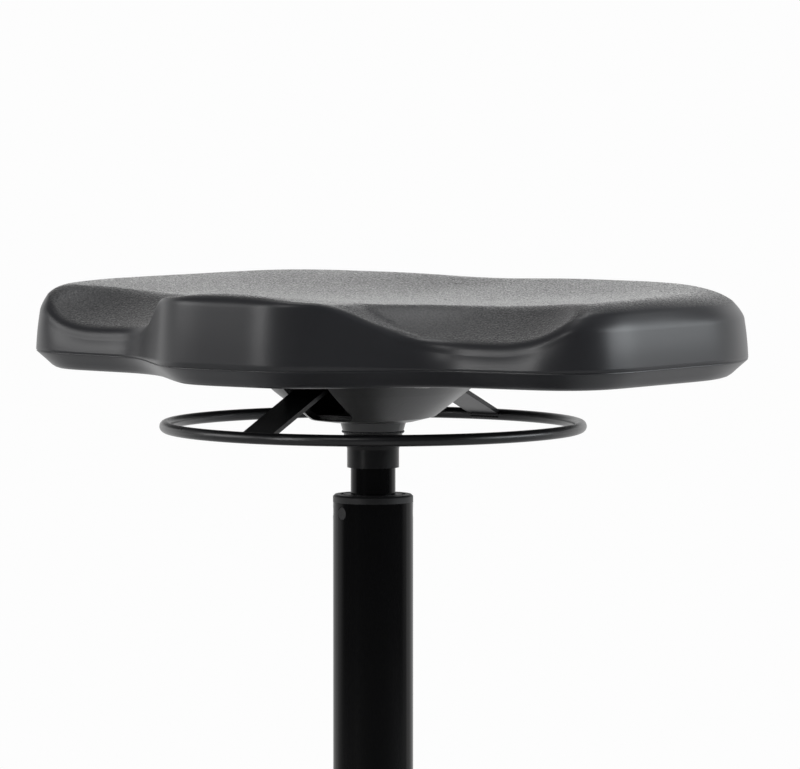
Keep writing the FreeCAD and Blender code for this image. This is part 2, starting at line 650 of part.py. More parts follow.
def base_socket():
    clear = s.tube_radius + s.cone_gap
    body = turned("base_socket", [
        (s.tube_low_radius + s.cone_gap, s.barrel_low),
        (s.barrel_radius, s.barrel_low),
        (s.barrel_radius, weight_top),
        (s.flange_radius, weight_top),
        (s.flange_radius, flange_top),
        (s.barrel_radius + s.flange_weld, flange_top),
        (s.barrel_radius, flange_top + s.flange_weld),
        (s.barrel_radius, s.barrel_top),
        (clear, s.barrel_top),
        (clear, s.taper_top),
        (s.tube_low_radius + s.cone_gap, s.tube_low)])
    holes = plane_sketch(body, "XY_Plane", "base_socket_holes", flange_top)
    ring_of(holes, s.base_bolt_pitch, 0, s.base_bolt_radius + s.base_bolt_gap)
    hole = extrude(body, holes, "base_socket_hole", s.flange_thick, cut=True)
    spread(body, [hole], "base_socket_hole_ring", 4)
    return body


def socket_bolts():
    """Four hexagon bolts that hold the socket to the weight."""
    body = new_body("socket_bolts")
    heads = plane_sketch(body, "XY_Plane", "socket_bolts_heads", flange_top)
    trace(heads, hexagon(s.base_bolt_pitch, 0, s.base_bolt_flats))
    head = extrude(body, heads, "socket_bolts_head", s.base_bolt_head)
    shanks = plane_sketch(body, "XY_Plane", "socket_bolts_shanks", flange_top)
    ring_of(shanks, s.base_bolt_pitch, 0, s.base_bolt_radius)
    shank = extrude(body, shanks, "socket_bolts_shank", s.base_bolt_length, flip=True)
    spread(body, [head, shank], "socket_bolts_ring", 4)
    return body


def column_collar():
    """Trim ring that closes the gap between the shell's neck and the stand tube."""
    bore = s.tube_radius + s.collar_play
    low = s.shell_top
    top = low + s.collar_height
    return turned("column_collar", [
        (bore, low),
        (s.collar_radius, low),
        (s.collar_radius, low + s.collar_lip),
        (s.collar_radius - s.collar_shoulder, top - s.collar_lip),
        (bore + s.collar_roof, top),
        (bore, top)])


# Column

def stand_tube():
    low_inside = s.tube_low_radius - s.tube_wall
    body = turned("stand_tube", [
        (s.tube_lip_radius, s.tube_low),
        (s.tube_low_radius, s.tube_low),
        (s.tube_radius, s.taper_top),
        (s.tube_radius, tube_top),
        (s.tube_radius - s.tube_wall, tube_top),
        (s.tube_radius - s.tube_wall, s.taper_top),
        (low_inside, bottom_plate_z),
        (s.tube_lip_radius, bottom_plate_z)])
    for number, angle in enumerate(snap_angles()):
        face = radial_sketch(body, "stand_tube_snap_%d" % number, angle, as_length(0))
        ring_of(face, 0, cap_top - s.snap_drop, s.snap_radius + s.snap_gap)
        extrude(body, face, "stand_tube_hole_%d" % number, s.tube_radius * 2, cut=True, flip=True)
    return body


def snap_angles():
    """Directions of the four snap lugs: two pairs, opposite each other."""
    pair = [s.snap_first, s.snap_first - s.snap_step]
    return pair + [angle + 180 for angle in pair]


def radial_sketch(body, name, angle, reach):
    """Upright sketch that faces outwards in a direction, at a distance from the axis."""
    sketch = plane_sketch(body, "XZ_Plane", name)
    turn = angle + 90
    radians = math.radians(turn.value)
    sketch.AttachmentOffset = FreeCAD.Placement(
        FreeCAD.Vector(reach.value * math.sin(radians), 0, reach.value * math.cos(radians)),
        FreeCAD.Rotation(FreeCAD.Vector(0, 1, 0), turn.value))
    sketch.setExpression("AttachmentOffset.Rotation.Angle", "%s * 1 deg" % turn.text)
    sketch.setExpression("AttachmentOffset.Base.x",
                         "%s * sin(%s * 1 deg)" % (reach.text, turn.text))
    sketch.setExpression("AttachmentOffset.Base.z",
                         "%s * cos(%s * 1 deg)" % (reach.text, turn.text))
    return sketch


def guide_bush():
    bore = s.cylinder_radius + s.bush_play
    outside = s.tube_radius - s.tube_wall - s.bush_seat_gap
    low = tube_top - s.bush_length
    groove_end = s.cap_groove_radius + s.cap_groove_width
    body = turned("guide_bush", [
        (bore, low),
        (outside, low),
        (outside, tube_top),
        (s.tube_radius, tube_top),
        (s.tube_radius, cap_top - s.cap_chamfer),
        (s.tube_radius - s.cap_chamfer, cap_top),
        (groove_end, cap_top),
        (groove_end, cap_top - s.cap_groove_depth),
        (s.cap_groove_radius, cap_top - s.cap_groove_depth),
        (s.cap_groove_radius, cap_top),
        (bore, cap_top),
        (bore, cap_top - s.bush_land),
        (bore + s.bush_relief, cap_top - s.bush_land - s.bush_relief),
        (bore + s.bush_relief, low + s.bush_land + s.bush_relief),
        (bore, low + s.bush_land)])
    lug_start = outside - s.snap_root
    lug_end = s.tube_radius - s.snap_proud
    for number, angle in enumerate(snap_angles()):
        face = radial_sketch(body, "guide_bush_snap_%d" % number, angle, lug_start)
        ring_of(face, 0, cap_top - s.snap_drop, s.snap_radius)
        extrude(body, face, "guide_bush_lug_%d" % number, lug_end - lug_start)
    return body


def tube_bottom_plate():
    hole = s.rod_stub_radius + s.bottom_hole_gap
    outside = s.tube_low_radius - s.tube_wall - s.bottom_plate_gap
    return turned("tube_bottom_plate", [
        (hole, bottom_plate_z),
        (outside, bottom_plate_z),
        (outside, lower_race_z),
        (hole, lower_race_z)])


# Thrust bearing and stop

def race(name, low, hole):
    top = low + s.race_thick
    return turned(name, [(hole, low), (s.race_radius, low), (s.race_radius, top), (hole, top)])


def bearing_balls():
    body = new_body("bearing_balls")
    sketch = plane_sketch(body, "XZ_Plane", "bearing_balls_half")
    centre = FreeCAD.Vector(s.ball_pitch_radius.value, ball_z.value, 0)
    radius = s.ball_radius.value
    arc = Part.ArcOfCircle(Part.Circle(centre, FreeCAD.Vector(0, 0, 1), radius),
                           -math.pi / 2, math.pi / 2)
    sketch.addGeometry(arc, False)
    low = centre - FreeCAD.Vector(0, radius, 0)
    high = centre + FreeCAD.Vector(0, radius, 0)
    sketch.addGeometry(Part.LineSegment(high, low), False)
    sketch.addConstraint(Sketcher.Constraint("Coincident", 0, 2, 1, 1))
    sketch.addConstraint(Sketcher.Constraint("Coincident", 0, 1, 1, 2))
    sketch.addConstraint(Sketcher.Constraint("PointOnObject", 0, 3, 1))
    sketch.addConstraint(Sketcher.Constraint("Vertical", 1))
    pin_point(sketch, 0, 3, s.ball_pitch_radius, ball_z)
    number = sketch.addConstraint(Sketcher.Constraint("Radius", 0, radius))
    sketch.setExpression("Constraints[%d]" % number, s.ball_radius.text)
    axis = sketch.GeometryCount
    sketch.addGeometry(Part.LineSegment(low, high), True)
    pin_point(sketch, axis, 1, s.ball_pitch_radius, ball_z - s.ball_radius)
    pin_point(sketch, axis, 2, s.ball_pitch_radius, ball_z + s.ball_radius)
    ball = body.newObject("PartDesign::Revolution", "bearing_balls_ball")
    ball.Profile = sketch
    ball.ReferenceAxis = (sketch, ["Axis0"])
    ball.Angle = 360
    spread(body, [ball], "bearing_balls_ring", s.ball_count)
    return body


def ball_cage():
    low = ball_z - s.cage_thick / 2
    top = ball_z + s.cage_thick / 2
    body = turned("ball_cage", [
        (s.cage_inside_radius, low),
        (s.cage_outside_radius, low),
        (s.cage_outside_radius, top),
        (s.cage_inside_radius, top)])
    sketch = plane_sketch(body, "XY_Plane", "ball_cage_pockets", top)
    ring_of(sketch, s.ball_pitch_radius, 0, s.ball_radius + s.cage_pocket_gap)
    pocket = extrude(body, sketch, "ball_cage_pocket", s.cage_thick, cut=True)
    spread(body, [pocket], "ball_cage_pocket_ring", s.ball_count)
    return body


def bumper():
    bore = s.rod_radius + s.bumper_gap
    waist = s.bumper_radius - s.bumper_waist
    third = s.bumper_height / 3
    return turned("bumper", [
        (bore, rod_shoulder_z),
        (s.bumper_radius, rod_shoulder_z),
        (s.bumper_radius, rod_shoulder_z + third),
        (waist, rod_shoulder_z + s.bumper_height / 2),
        (s.bumper_radius, bumper_top - third),
        (s.bumper_radius, bumper_top),
        (bore, bumper_top)])


def clip_top():
    return bottom_plate_z - s.clip_gap


def rod_clip():
    inside = s.rod_stub_radius - s.clip_groove_depth + s.clip_groove_gap
    low = clip_top() - s.clip_thick
    body = new_body("rod_clip")
    sketch = plane_sketch(body, "XZ_Plane", "rod_clip_outline")
    trace(sketch, [(inside, low), (s.clip_radius, low), (s.clip_radius, clip_top()),
                   (inside, clip_top())])
    turn = revolve(body, sketch, "rod_clip_turn")
    turn.setExpression("Angle", "360 - " + s.clip_opening.text)
    return body


# Piston and rod

def piston_rod():
    groove = s.rod_stub_radius - s.clip_groove_depth
    groove_low = clip_top() - s.clip_thick - s.clip_groove_gap
    groove_top = clip_top() + s.clip_groove_gap
    rod_top = piston_z + s.piston_height + s.nut_height + s.rod_end_over
    return turned("piston_rod", [
        (0, s.rod_low),
        (s.rod_stub_radius - s.rod_chamfer, s.rod_low),
        (s.rod_stub_radius, s.rod_low + s.rod_chamfer),
        (s.rod_stub_radius, groove_low),
        (groove, groove_low),
        (groove, groove_top),
        (s.rod_stub_radius, groove_top),
        (s.rod_stub_radius, rod_shoulder_z),
        (s.rod_radius, rod_shoulder_z),
        (s.rod_radius, piston_z),
        (s.rod_stub_radius, piston_z),
        (s.rod_stub_radius, rod_top),
        (0, rod_top)])


def seal_groove():
    """Lower and upper faces of the piston's seal groove."""
    middle = piston_z + s.piston_height / 2
    return middle - s.seal_groove_height / 2, middle + s.seal_groove_height / 2


def piston():
    bore = s.rod_stub_radius + s.thread_gap
    outside = s.liner_radius - s.piston_gap
    groove = outside - s.seal_groove_depth
    low, high = seal_groove()
    top = piston_z + s.piston_height
    return turned("piston", [
        (bore, piston_z),
        (outside, piston_z),
        (outside, low),
        (groove, low),
        (groove, high),
        (outside, high),
        (outside, top),
        (bore, top)])


def piston_seal():
    inside = s.liner_radius - s.piston_gap - s.seal_groove_depth + s.seal_gap
    outside = s.liner_radius - s.seal_gap
    low, high = seal_groove()
    return turned("piston_seal", [
        (inside, low + s.seal_gap),
        (outside, low + s.seal_gap),
        (outside, high - s.seal_gap),
        (inside, high - s.seal_gap)])


def piston_nut():
    low = piston_z + s.piston_height
    body = new_body("piston_nut")
    outline = plane_sketch(body, "XY_Plane", "piston_nut_outline", low)
    trace(outline, hexagon(as_length(0), 0, s.nut_flats))
    ring_of(outline, 0, 0, s.rod_stub_radius + s.thread_gap)
    extrude(body, outline, "piston_nut_pad", s.nut_height)
    return body


# Gas cylinder

def pressure_tube():
    inside = s.cylinder_radius - s.cylinder_wall
    return turned("pressure_tube", [
        (s.crimp_radius, cylinder_low),
        (s.cylinder_radius, cylinder_low),
        (s.cylinder_radius, cone_start),
        (s.cylinder_top_radius, cylinder_top),
        (s.crimp_radius, cylinder_top),
        (s.crimp_radius, valve_top),
        (s.cylinder_top_radius - s.cylinder_top_wall, valve_top),
        (inside, cone_start),
        (inside, guide_z),
        (s.crimp_radius, guide_z)])


def cylinder_liner():
    outside = s.liner_radius + s.liner_wall
    return turned("cylinder_liner", [
        (s.liner_radius, guide_top),
        (outside, guide_top),
        (outside, valve_low),
        (s.liner_radius, valve_low)])


def rod_guide():
    bore = s.rod_radius + s.rod_play
    outside = s.cylinder_radius - s.cylinder_wall - s.inner_gap
    spigot = s.liner_radius - s.spigot_gap
    seal_low = guide_z + s.rod_seal_start
    seal_top = seal_low + s.rod_seal_height
    return turned("rod_guide", [
        (s.rod_seal_radius, guide_z),
        (outside, guide_z),
        (outside, guide_top),
        (spigot, guide_top),
        (spigot, guide_top + s.spigot_length),
        (bore, guide_top + s.spigot_length),
        (bore, seal_top),
        (s.rod_seal_radius, seal_top)])


def rod_seal():
    bore = s.rod_radius + s.seal_gap
    outside = s.rod_seal_radius - s.seal_gap
    low = guide_z + s.rod_seal_start
    top = low + s.rod_seal_height
    return turned("rod_seal", [(bore, low), (outside, low), (outside, top), (bore, top)])


def oring_heights():
    return [valve_low + s.oring_first, valve_low + s.oring_first + s.oring_step]


def valve_body():
    wide = s.cylinder_radius - s.cylinder_wall - s.inner_gap
    spigot = s.liner_radius - s.spigot_gap
    stem_bore = s.pin_stem_radius + s.pin_play
    head_bore = s.pin_radius + s.pin_play
    step = valve_low + s.valve_wide_length
    floor = wide - s.oring_radius * 2
    room = s.oring_radius + s.oring_room
    corners = [
        (stem_bore, valve_low - s.spigot_length),
        (spigot, valve_low - s.spigot_length),
        (spigot, valve_low),
        (wide, valve_low)]
    for height in oring_heights():
        corners += [
            (wide, height - room),
            (floor, height - room),
            (floor, height + room),
            (wide, height + room)]
    corners += [
        (wide, step),
        (s.valve_neck_radius, step),
        (s.valve_neck_radius, valve_top),
        (head_bore, valve_top),
        (head_bore, pin_shoulder() - s.pin_travel_room),
        (stem_bore, pin_shoulder() - s.pin_travel_room)]
    return turned("valve_body", corners)


def valve_orings():
    """Two O-rings that seal the valve body in the pressure tube."""
    body = new_body("valve_orings")
    centre = s.cylinder_radius - s.cylinder_wall - s.seal_gap - s.oring_radius
    for number, height in enumerate(oring_heights()):
        sketch = plane_sketch(body, "XZ_Plane", "valve_orings_section_%d" % number)
        ring_of(sketch, centre, height, s.oring_radius)
        revolve(body, sketch, "valve_orings_ring_%d" % number)
    return body


def pin_shoulder():
    """Underside of the pin's head at rest, just under the valve body's top."""
    return valve_top - s.pin_head_sink


def valve_pin():
    low = valve_low + s.pin_low
    return turned("valve_pin", [
        (0, low),
        (s.pin_stem_radius, low),
        (s.pin_stem_radius, pin_shoulder()),
        (s.pin_radius, pin_shoulder()),
        (s.pin_radius, pin_top - s.pin_crown),
        (s.pin_crown_radius, pin_top - s.pin_crown_drop),
        (s.pin_flat_radius, pin_top),
        (0, pin_top)])


# Taper socket, hub bowl and mounting plate

def cone_radius(height):
    """Radius of the pressure tube's mounting cone at a height."""
    shrink = (s.cylinder_radius - s.cylinder_top_radius) / (cylinder_top - cone_start)
    return s.cylinder_radius - shrink * (height - cone_start)


def taper_socket():
    low = ring_z - s.socket_drop
    top = ring_z + s.socket_top_rise
    shoulder = ring_z - s.socket_shoulder_drop
    return turned("taper_socket", [
        (s.cylinder_radius + s.cone_gap, low),
        (s.socket_radius, low),
        (s.socket_radius, ring_z - s.socket_cone_drop),
        (s.socket_shoulder_radius, shoulder),
        (s.socket_stub_radius, shoulder),
        (s.socket_stub_radius, top),
        (cone_radius(top) + s.cone_gap, top),
        (s.cylinder_radius + s.cone_gap, cone_start)])


def oval(name, side, long, height):
    """Oval section that is longer along the bar."""
    shape = doc.addObject("Part::Ellipse", name)
    shape.Placement = FreeCAD.Placement(
        FreeCAD.Vector(0, 0, height.value), FreeCAD.Rotation(FreeCAD.Vector(0, 0, 1), 90))
    shape.setExpression("MajorRadius", long.text)
    shape.setExpression("MinorRadius", side.text)
    shape.setExpression("Placement.Base.z", height.text)
    return shape


def loft(name, sections):
    shape = doc.addObject("Part::Loft", name)
    shape.Sections = sections
    shape.Solid = True
    shape.Ruled = True
    return shape


def join(kind, name, first, second):
    shape = doc.addObject(kind, name)
    shape.Base = first
    shape.Tool = second
    return shape


def hub_bowl():
    """Bowl between the socket and the mounting plate, open at both ends of the bar."""
    low = ring_z + s.bowl_low_rise
    middle = ring_z + s.bowl_mid_rise
    slope = (s.bowl_mid_rise - s.bowl_low_rise) / (s.bowl_mid_long - s.bowl_low_long)
    lift = s.bowl_wall * slope + s.bowl_floor / 2
    base = ring_z + s.collar_top_rise
    outside = loft("hub_bowl_outside", [
        oval("hub_bowl_base", s.bowl_base_side, s.bowl_base_long, base),
        oval("hub_bowl_low", s.bowl_low_side, s.bowl_low_long, low),
        oval("hub_bowl_middle", s.bowl_mid_side, s.bowl_mid_long, middle),
        oval("hub_bowl_rim", s.bowl_rim_side, s.bowl_rim_long, plate_z)])
    inside = loft("hub_bowl_inside", [
        oval("hub_hollow_low", s.bowl_low_side - s.bowl_wall, s.bowl_low_long - s.bowl_wall,
             low + s.bowl_floor),
        oval("hub_hollow_middle", s.bowl_mid_side - s.bowl_wall, s.bowl_mid_long - s.bowl_wall,
             middle + s.bowl_floor / 2),
        oval("hub_hollow_rim", s.bowl_rim_side - s.bowl_wall, s.bowl_rim_long - s.bowl_wall,
             plate_z + lift)])
    bowl = join("Part::Cut", "hub_bowl_walls", outside, inside)
    collar = turned("hub_bowl_collar", [
        (0, ring_z - s.socket_shoulder_drop),
        (s.collar_low_radius, ring_z - s.socket_shoulder_drop),
        (s.collar_top_radius, base),
        (s.boss_inside_radius, base + s.bowl_floor),
        (s.boss_inside_radius, ring_z + s.boss_inside_rise),
        (0, ring_z + s.boss_inside_rise)])
    whole = join("Part::Fuse", "hub_bowl_whole", bowl, collar)
    bore = doc.addObject("Part::Cylinder", "hub_bowl_bore")
    bore.setExpression("Radius", (s.socket_stub_radius + s.hub_bore_gap).text)
    bore.setExpression("Height", s.plate_rise.text)
    bore.setExpression("Placement.Base.z", (ring_z - s.socket_shoulder_drop - s.bowl_floor).text)
    bored = join("Part::Cut", "hub_bowl_bored", whole, bore)
    windows = new_body("hub_bowl_windows")
    for number, side in enumerate((-1, 1)):
        face = plane_sketch(windows, "XZ_Plane", "hub_bowl_window_%d" % number,
                            s.window_start * side)
        trace(face, [
            (-s.window_half_width, ring_z + s.window_rise),
            (s.window_half_width, ring_z + s.window_rise),
            (s.window_half_width, plate_z + s.plate_thick),
            (-s.window_half_width, plate_z + s.plate_thick)])
        extrude(windows, face, "hub_bowl_window_pad_%d" % number,
                s.bowl_rim_long - s.window_start + s.bowl_wall, flip=side < 0)
    low_edge = (ring_z + s.window_rise).value
    round_edges(windows, "hub_bowl_window_rounding", s.window_rounding,
                lambda e: len(e.Vertexes) == 2
                and all(abs(v.Z - low_edge) < 0.01 for v in e.Vertexes)
                and abs(e.Vertexes[0].X - e.Vertexes[1].X) < 0.01)
    hub = join("Part::Cut", "hub_bowl", bored, windows)
    hub.Label = "hub_bowl"
    return hub


def plate_corners(margin):
    """Outline of the mounting plate, grown by a margin: a rectangle with cut corners."""
    side = s.plate_half_side + margin
    long = s.plate_half_long + margin
    near_side = side - s.plate_corner_side
    near_long = long - s.plate_corner_long
    return [
        (near_side, -long), (side, -near_long), (side, near_long), (near_side, long),
        (-near_side, long), (-side, near_long), (-side, -near_long), (-near_side, -long)]


def is_upright(edge):
    ends = edge.Vertexes
    if len(ends) != 2:
        return False
    return abs(ends[0].X - ends[1].X) < 0.01 and abs(ends[0].Y - ends[1].Y) < 0.01


def bead(body, number, reach):
    """Fulcrum bead across the bar, round below and sunk into the plate above."""
    face = plane_sketch(body, "YZ_Plane", "mount_plate_bead_%d" % number)
    radius = s.fulcrum_radius.value
    centre = FreeCAD.Vector(reach.value, bead_z.value, 0)
    left = centre - FreeCAD.Vector(radius, 0, 0)
    right = centre + FreeCAD.Vector(radius, 0, 0)
    rise = FreeCAD.Vector(0, (plate_z + s.plate_thick / 2 - bead_z).value, 0)
    face.addGeometry(Part.ArcOfCircle(
        Part.Circle(centre, FreeCAD.Vector(0, 0, 1), radius), math.pi, 2 * math.pi), False)
    face.addGeometry(Part.LineSegment(right, right + rise), False)
    face.addGeometry(Part.LineSegment(right + rise, left + rise), False)
    face.addGeometry(Part.LineSegment(left + rise, left), False)
    for shape in range(4):
        face.addConstraint(Sketcher.Constraint("Coincident", shape, 2, (shape + 1) % 4, 1))
    face.addConstraint(Sketcher.Constraint("Vertical", 1))
    face.addConstraint(Sketcher.Constraint("Vertical", 3))
    face.addConstraint(Sketcher.Constraint("Horizontal", 0, 1, 0, 2))
    pin_point(face, 0, 3, reach, bead_z)
    pin_point(face, 0, 1, reach - s.fulcrum_radius, bead_z)
    height = plate_z + s.plate_thick / 2
    for shape in (1, 2):
        held = face.addConstraint(Sketcher.Constraint("DistanceY", -1, 1, shape, 2, height.value))
        face.setExpression("Constraints[%d]" % held, height.text)
    extrude(body, face, "mount_plate_bead_pad_%d" % number, s.bead_half_length * 2, both_ways=True)


def mount_plate():
    body = new_body("mount_plate")
    outline = plane_sketch(body, "XY_Plane", "mount_plate_outline", plate_z)
    trace(outline, plate_corners(0))
    extrude(body, outline, "mount_plate_pad", s.plate_thick)
    round_edges(body, "mount_plate_corners", s.plate_rounding, is_upright)
    for number, reach in enumerate((-s.fulcrum_reach, s.fulcrum_reach)):
        bead(body, number, reach)
    holes = plane_sketch(body, "XY_Plane", "mount_plate_holes", board_z)
    ring_of(holes, s.bolt_side, s.bolt_long, s.screw_radius + s.screw_hole_gap)
    hole = extrude(body, holes, "mount_plate_hole", s.plate_thick, cut=True)
    corner_copies(body, [hole], "mount_plate_hole_set")
    return body


# Seat fasteners and board

def seat_screws():
    """Four button head screws up through washers, plate and board."""
    body = new_body("seat_screws")
    under_washer = plate_z - s.washer_thick
    heads = plane_sketch(body, "XY_Plane", "seat_screws_heads", under_washer)
    ring_of(heads, s.bolt_side, s.bolt_long, s.screw_head_radius)
    head = extrude(body, heads, "seat_screws_head", s.screw_head_height, flip=True)
    shanks = plane_sketch(body, "XY_Plane", "seat_screws_shanks", under_washer)
    ring_of(shanks, s.bolt_side, s.bolt_long, s.screw_radius)
    shank = extrude(body, shanks, "seat_screws_shank", s.screw_length)
    keys = plane_sketch(body, "XY_Plane", "seat_screws_keys", under_washer - s.screw_head_height)
    trace(keys, hexagon(s.bolt_side, s.bolt_long, s.screw_key))
    key = extrude(body, keys, "seat_screws_key", s.screw_key_depth, cut=True, flip=True)
    corner_copies(body, [head, shank, key], "seat_screws_set")
    round_edges(body, "seat_screws_rounding", s.screw_head_rounding,
                lambda e: isinstance(e.Curve, Part.Circle)
                and abs(e.Curve.Radius - s.screw_head_radius.value) < 0.01
                and abs(e.Curve.Center.z - (under_washer - s.screw_head_height).value) < 0.01)
    return body


def seat_washers():
    body = new_body("seat_washers")
    sketch = plane_sketch(body, "XY_Plane", "seat_washers_outline", plate_z)
    ring_of(sketch, s.bolt_side, s.bolt_long, s.washer_radius)
    ring_of(sketch, s.bolt_side, s.bolt_long, s.screw_radius + s.washer_gap)
    washer = extrude(body, sketch, "seat_washers_washer", s.washer_thick, flip=True)
    corner_copies(body, [washer], "seat_washers_set")
    return body


def tee_nuts():
    """Four T-nuts let into the board from above."""
    body = new_body("tee_nuts")
    flanges = plane_sketch(body, "XY_Plane", "tee_nuts_flanges", board_top)
    ring_of(flanges, s.bolt_side, s.bolt_long, s.tee_flange_radius)
    ring_of(flanges, s.bolt_side, s.bolt_long, s.screw_radius + s.thread_gap)
    flange = extrude(body, flanges, "tee_nuts_flange", s.tee_flange_thick)
    barrels = plane_sketch(body, "XY_Plane", "tee_nuts_barrels", board_top)
    ring_of(barrels, s.bolt_side, s.bolt_long, s.tee_barrel_radius)
    ring_of(barrels, s.bolt_side, s.bolt_long, s.screw_radius + s.thread_gap)
    barrel = extrude(body, barrels, "tee_nuts_barrel", s.tee_barrel_length, flip=True)
    corner_copies(body, [flange, barrel], "tee_nuts_set")
    return body


def board_corners(margin):
    side = s.board_half_width + margin
    front = -(s.board_front + margin)
    back = s.board_back + margin
    return [(-side, front), (side, front), (side, back), (-side, back)]


def seat_board():
    body = new_body("seat_board")
    outline = plane_sketch(body, "XY_Plane", "seat_board_outline", board_z)
    trace(outline, board_corners(0))
    extrude(body, outline, "seat_board_pad", s.board_thick)
    round_edges(body, "seat_board_corners", s.board_rounding, is_upright)
    holes = plane_sketch(body, "XY_Plane", "seat_board_holes", board_top)
    ring_of(holes, s.bolt_side, s.bolt_long, s.tee_barrel_radius + s.tee_gap)
    hole = extrude(body, holes, "seat_board_hole", s.board_thick, cut=True)
    corner_copies(body, [hole], "seat_board_hole_set")
    return body


# Seat pad

def rounded_loop(corners, height):
    """Closed wire of lines and arcs through corners (across, along, rounding)."""
    spots = [FreeCAD.Vector(x, y, height) for x, y, rounding in corners]
    starts = []
    count = len(corners)
    for n, (x, y, rounding) in enumerate(corners):
        here = spots[n]
        back = (spots[n - 1] - here).normalize()
        ahead = (spots[(n + 1) % count] - here).normalize()
        half = back.getAngle(ahead) / 2
        reach = rounding / math.tan(half)
        middle = (back + ahead).normalize()
        tip = here + middle * (rounding / math.sin(half) - rounding)
        starts.append((here + back * reach, tip, here + ahead * reach))
    edges = []
    for n, (start, tip, end) in enumerate(starts):
        edges.append(Part.Arc(start, tip, end).toShape())
        edges.append(Part.LineSegment(end, starts[(n + 1) % count][0]).toShape())
    return Part.Wire(edges)


# Steps of the quarter turn that rounds the pad's shoulder
SHOULDER_STEPS = 4


def pad_section(height, inset, horn_inset):
    """Outline of the pad at a height, drawn in from the parting line.

    Outward corners tighten by half of what the outline is drawn in.
    """
    def number(alias):
        return float(sheet.get(alias))
    right = [
        (number("horn_half_width") - horn_inset, -(number("horn_front") - horn_inset),
         number("horn_rounding") - horn_inset / 2),
        (number("waist_side") - horn_inset, -(number("waist_front") - inset),
         number("waist_rounding")),
        (number("lobe_side") - inset, -(number("lobe_front") - inset),
         number("lobe_rounding") - inset / 2),
        (number("back_side") - inset, number("back_reach") - inset,
         number("back_rounding") - inset / 2)]
    left = [(-x, y, rounding) for x, y, rounding in reversed(right)]
    return rounded_loop(right + left, height)


def pad_form():
    """Moulded outer form: chamfered underside, upright wall, rounded shoulder."""
    wall_top = (ring_z + s.pad_wall_rise).value
    top = pad_top.value
    draft = s.pad_wall_draft.value
    shoulder = s.pad_shoulder.value
    edge = s.horn_edge.value
    lower = Part.makeLoft([
        pad_section(pad_low.value, s.pad_chamfer.value, s.pad_chamfer.value),
        pad_section(pad_edge.value, 0.0, 0.0),
        pad_section(wall_top, draft, draft)], True, True)
    levels = []
    for step in range(SHOULDER_STEPS + 1):
        sweep = math.radians(90.0 * step / SHOULDER_STEPS)
        rise = (top - wall_top) * math.sin(sweep)
        drop = max(0.0, rise - (top - wall_top - edge))
        horn = edge - math.sqrt(edge ** 2 - min(drop, edge) ** 2)
        levels.append(pad_section(wall_top + rise, draft + shoulder * (1 - math.cos(sweep)),
                                  draft + horn))
    upper = Part.makeLoft(levels, True, True)
    return lower.fuse(upper).removeSplitter()


def thigh_tool(side):
    """Scoop that lowers the pad's edge between the horn and a side lobe."""
    edge_y = -(s.lobe_front.value + s.waist_front.value) / 2
    sections = (
        (-s.thigh_outer_reach, ring_z + s.thigh_outer_rise, s.thigh_outer_half),
        (as_length(0), ring_z + s.thigh_rim_rise, s.thigh_half_width),
        (s.thigh_inner_reach, ring_z + s.thigh_inner_rise, s.thigh_inner_half),
        (s.thigh_depth, pad_top + s.thigh_end_over, s.thigh_end_half))
    wires = []
    rim = (pad_top + s.thigh_flare).value
    roof = (pad_top + s.pad_shoulder).value
    for along, bottom, half in sections:
        y = edge_y + along.value
        left = FreeCAD.Vector(-half.value, y, rim)
        right = FreeCAD.Vector(half.value, y, rim)
        arc = Part.Arc(left, FreeCAD.Vector(0, y, bottom.value), right).toShape()
        high_right = FreeCAD.Vector(half.value, y, roof)
        high_left = FreeCAD.Vector(-half.value, y, roof)
        wires.append(Part.Wire([
            arc,
            Part.LineSegment(right, high_right).toShape(),
            Part.LineSegment(high_right, high_left).toShape(),
            Part.LineSegment(high_left, left).toShape()]))
    tool = Part.makeLoft(wires, True, False)
    turn = FreeCAD.Rotation(FreeCAD.Vector(0, 0, 1), side * s.thigh_turn.value)
    centre = FreeCAD.Vector(0, edge_y, 0)
    spot = FreeCAD.Vector(side * s.thigh_side.value, 0, 0)
    tool.Placement = FreeCAD.Placement(spot, turn, centre)
    return tool


def cap_radius(half_width, depth):
    """Radius of the circle whose segment is this wide and deep."""
    return (half_width ** 2 + depth ** 2) / (2 * depth)


def pad_hollows():
    """Dish for sitting and channel for the tailbone."""
    ball = cap_radius(s.dish_radius.value, s.dish_depth.value)
    dish = Part.makeSphere(ball, FreeCAD.Vector(
        0, s.dish_back.value, pad_top.value + ball - s.dish_depth.value))
    roll = cap_radius(s.channel_half_width.value, s.channel_depth.value)
    channel = Part.makeCylinder(
        roll, s.back_reach.value, FreeCAD.Vector(
            0, s.channel_start.value, pad_top.value + roll - s.channel_depth.value),
        FreeCAD.Vector(0, 1, 0))
    return dish, channel


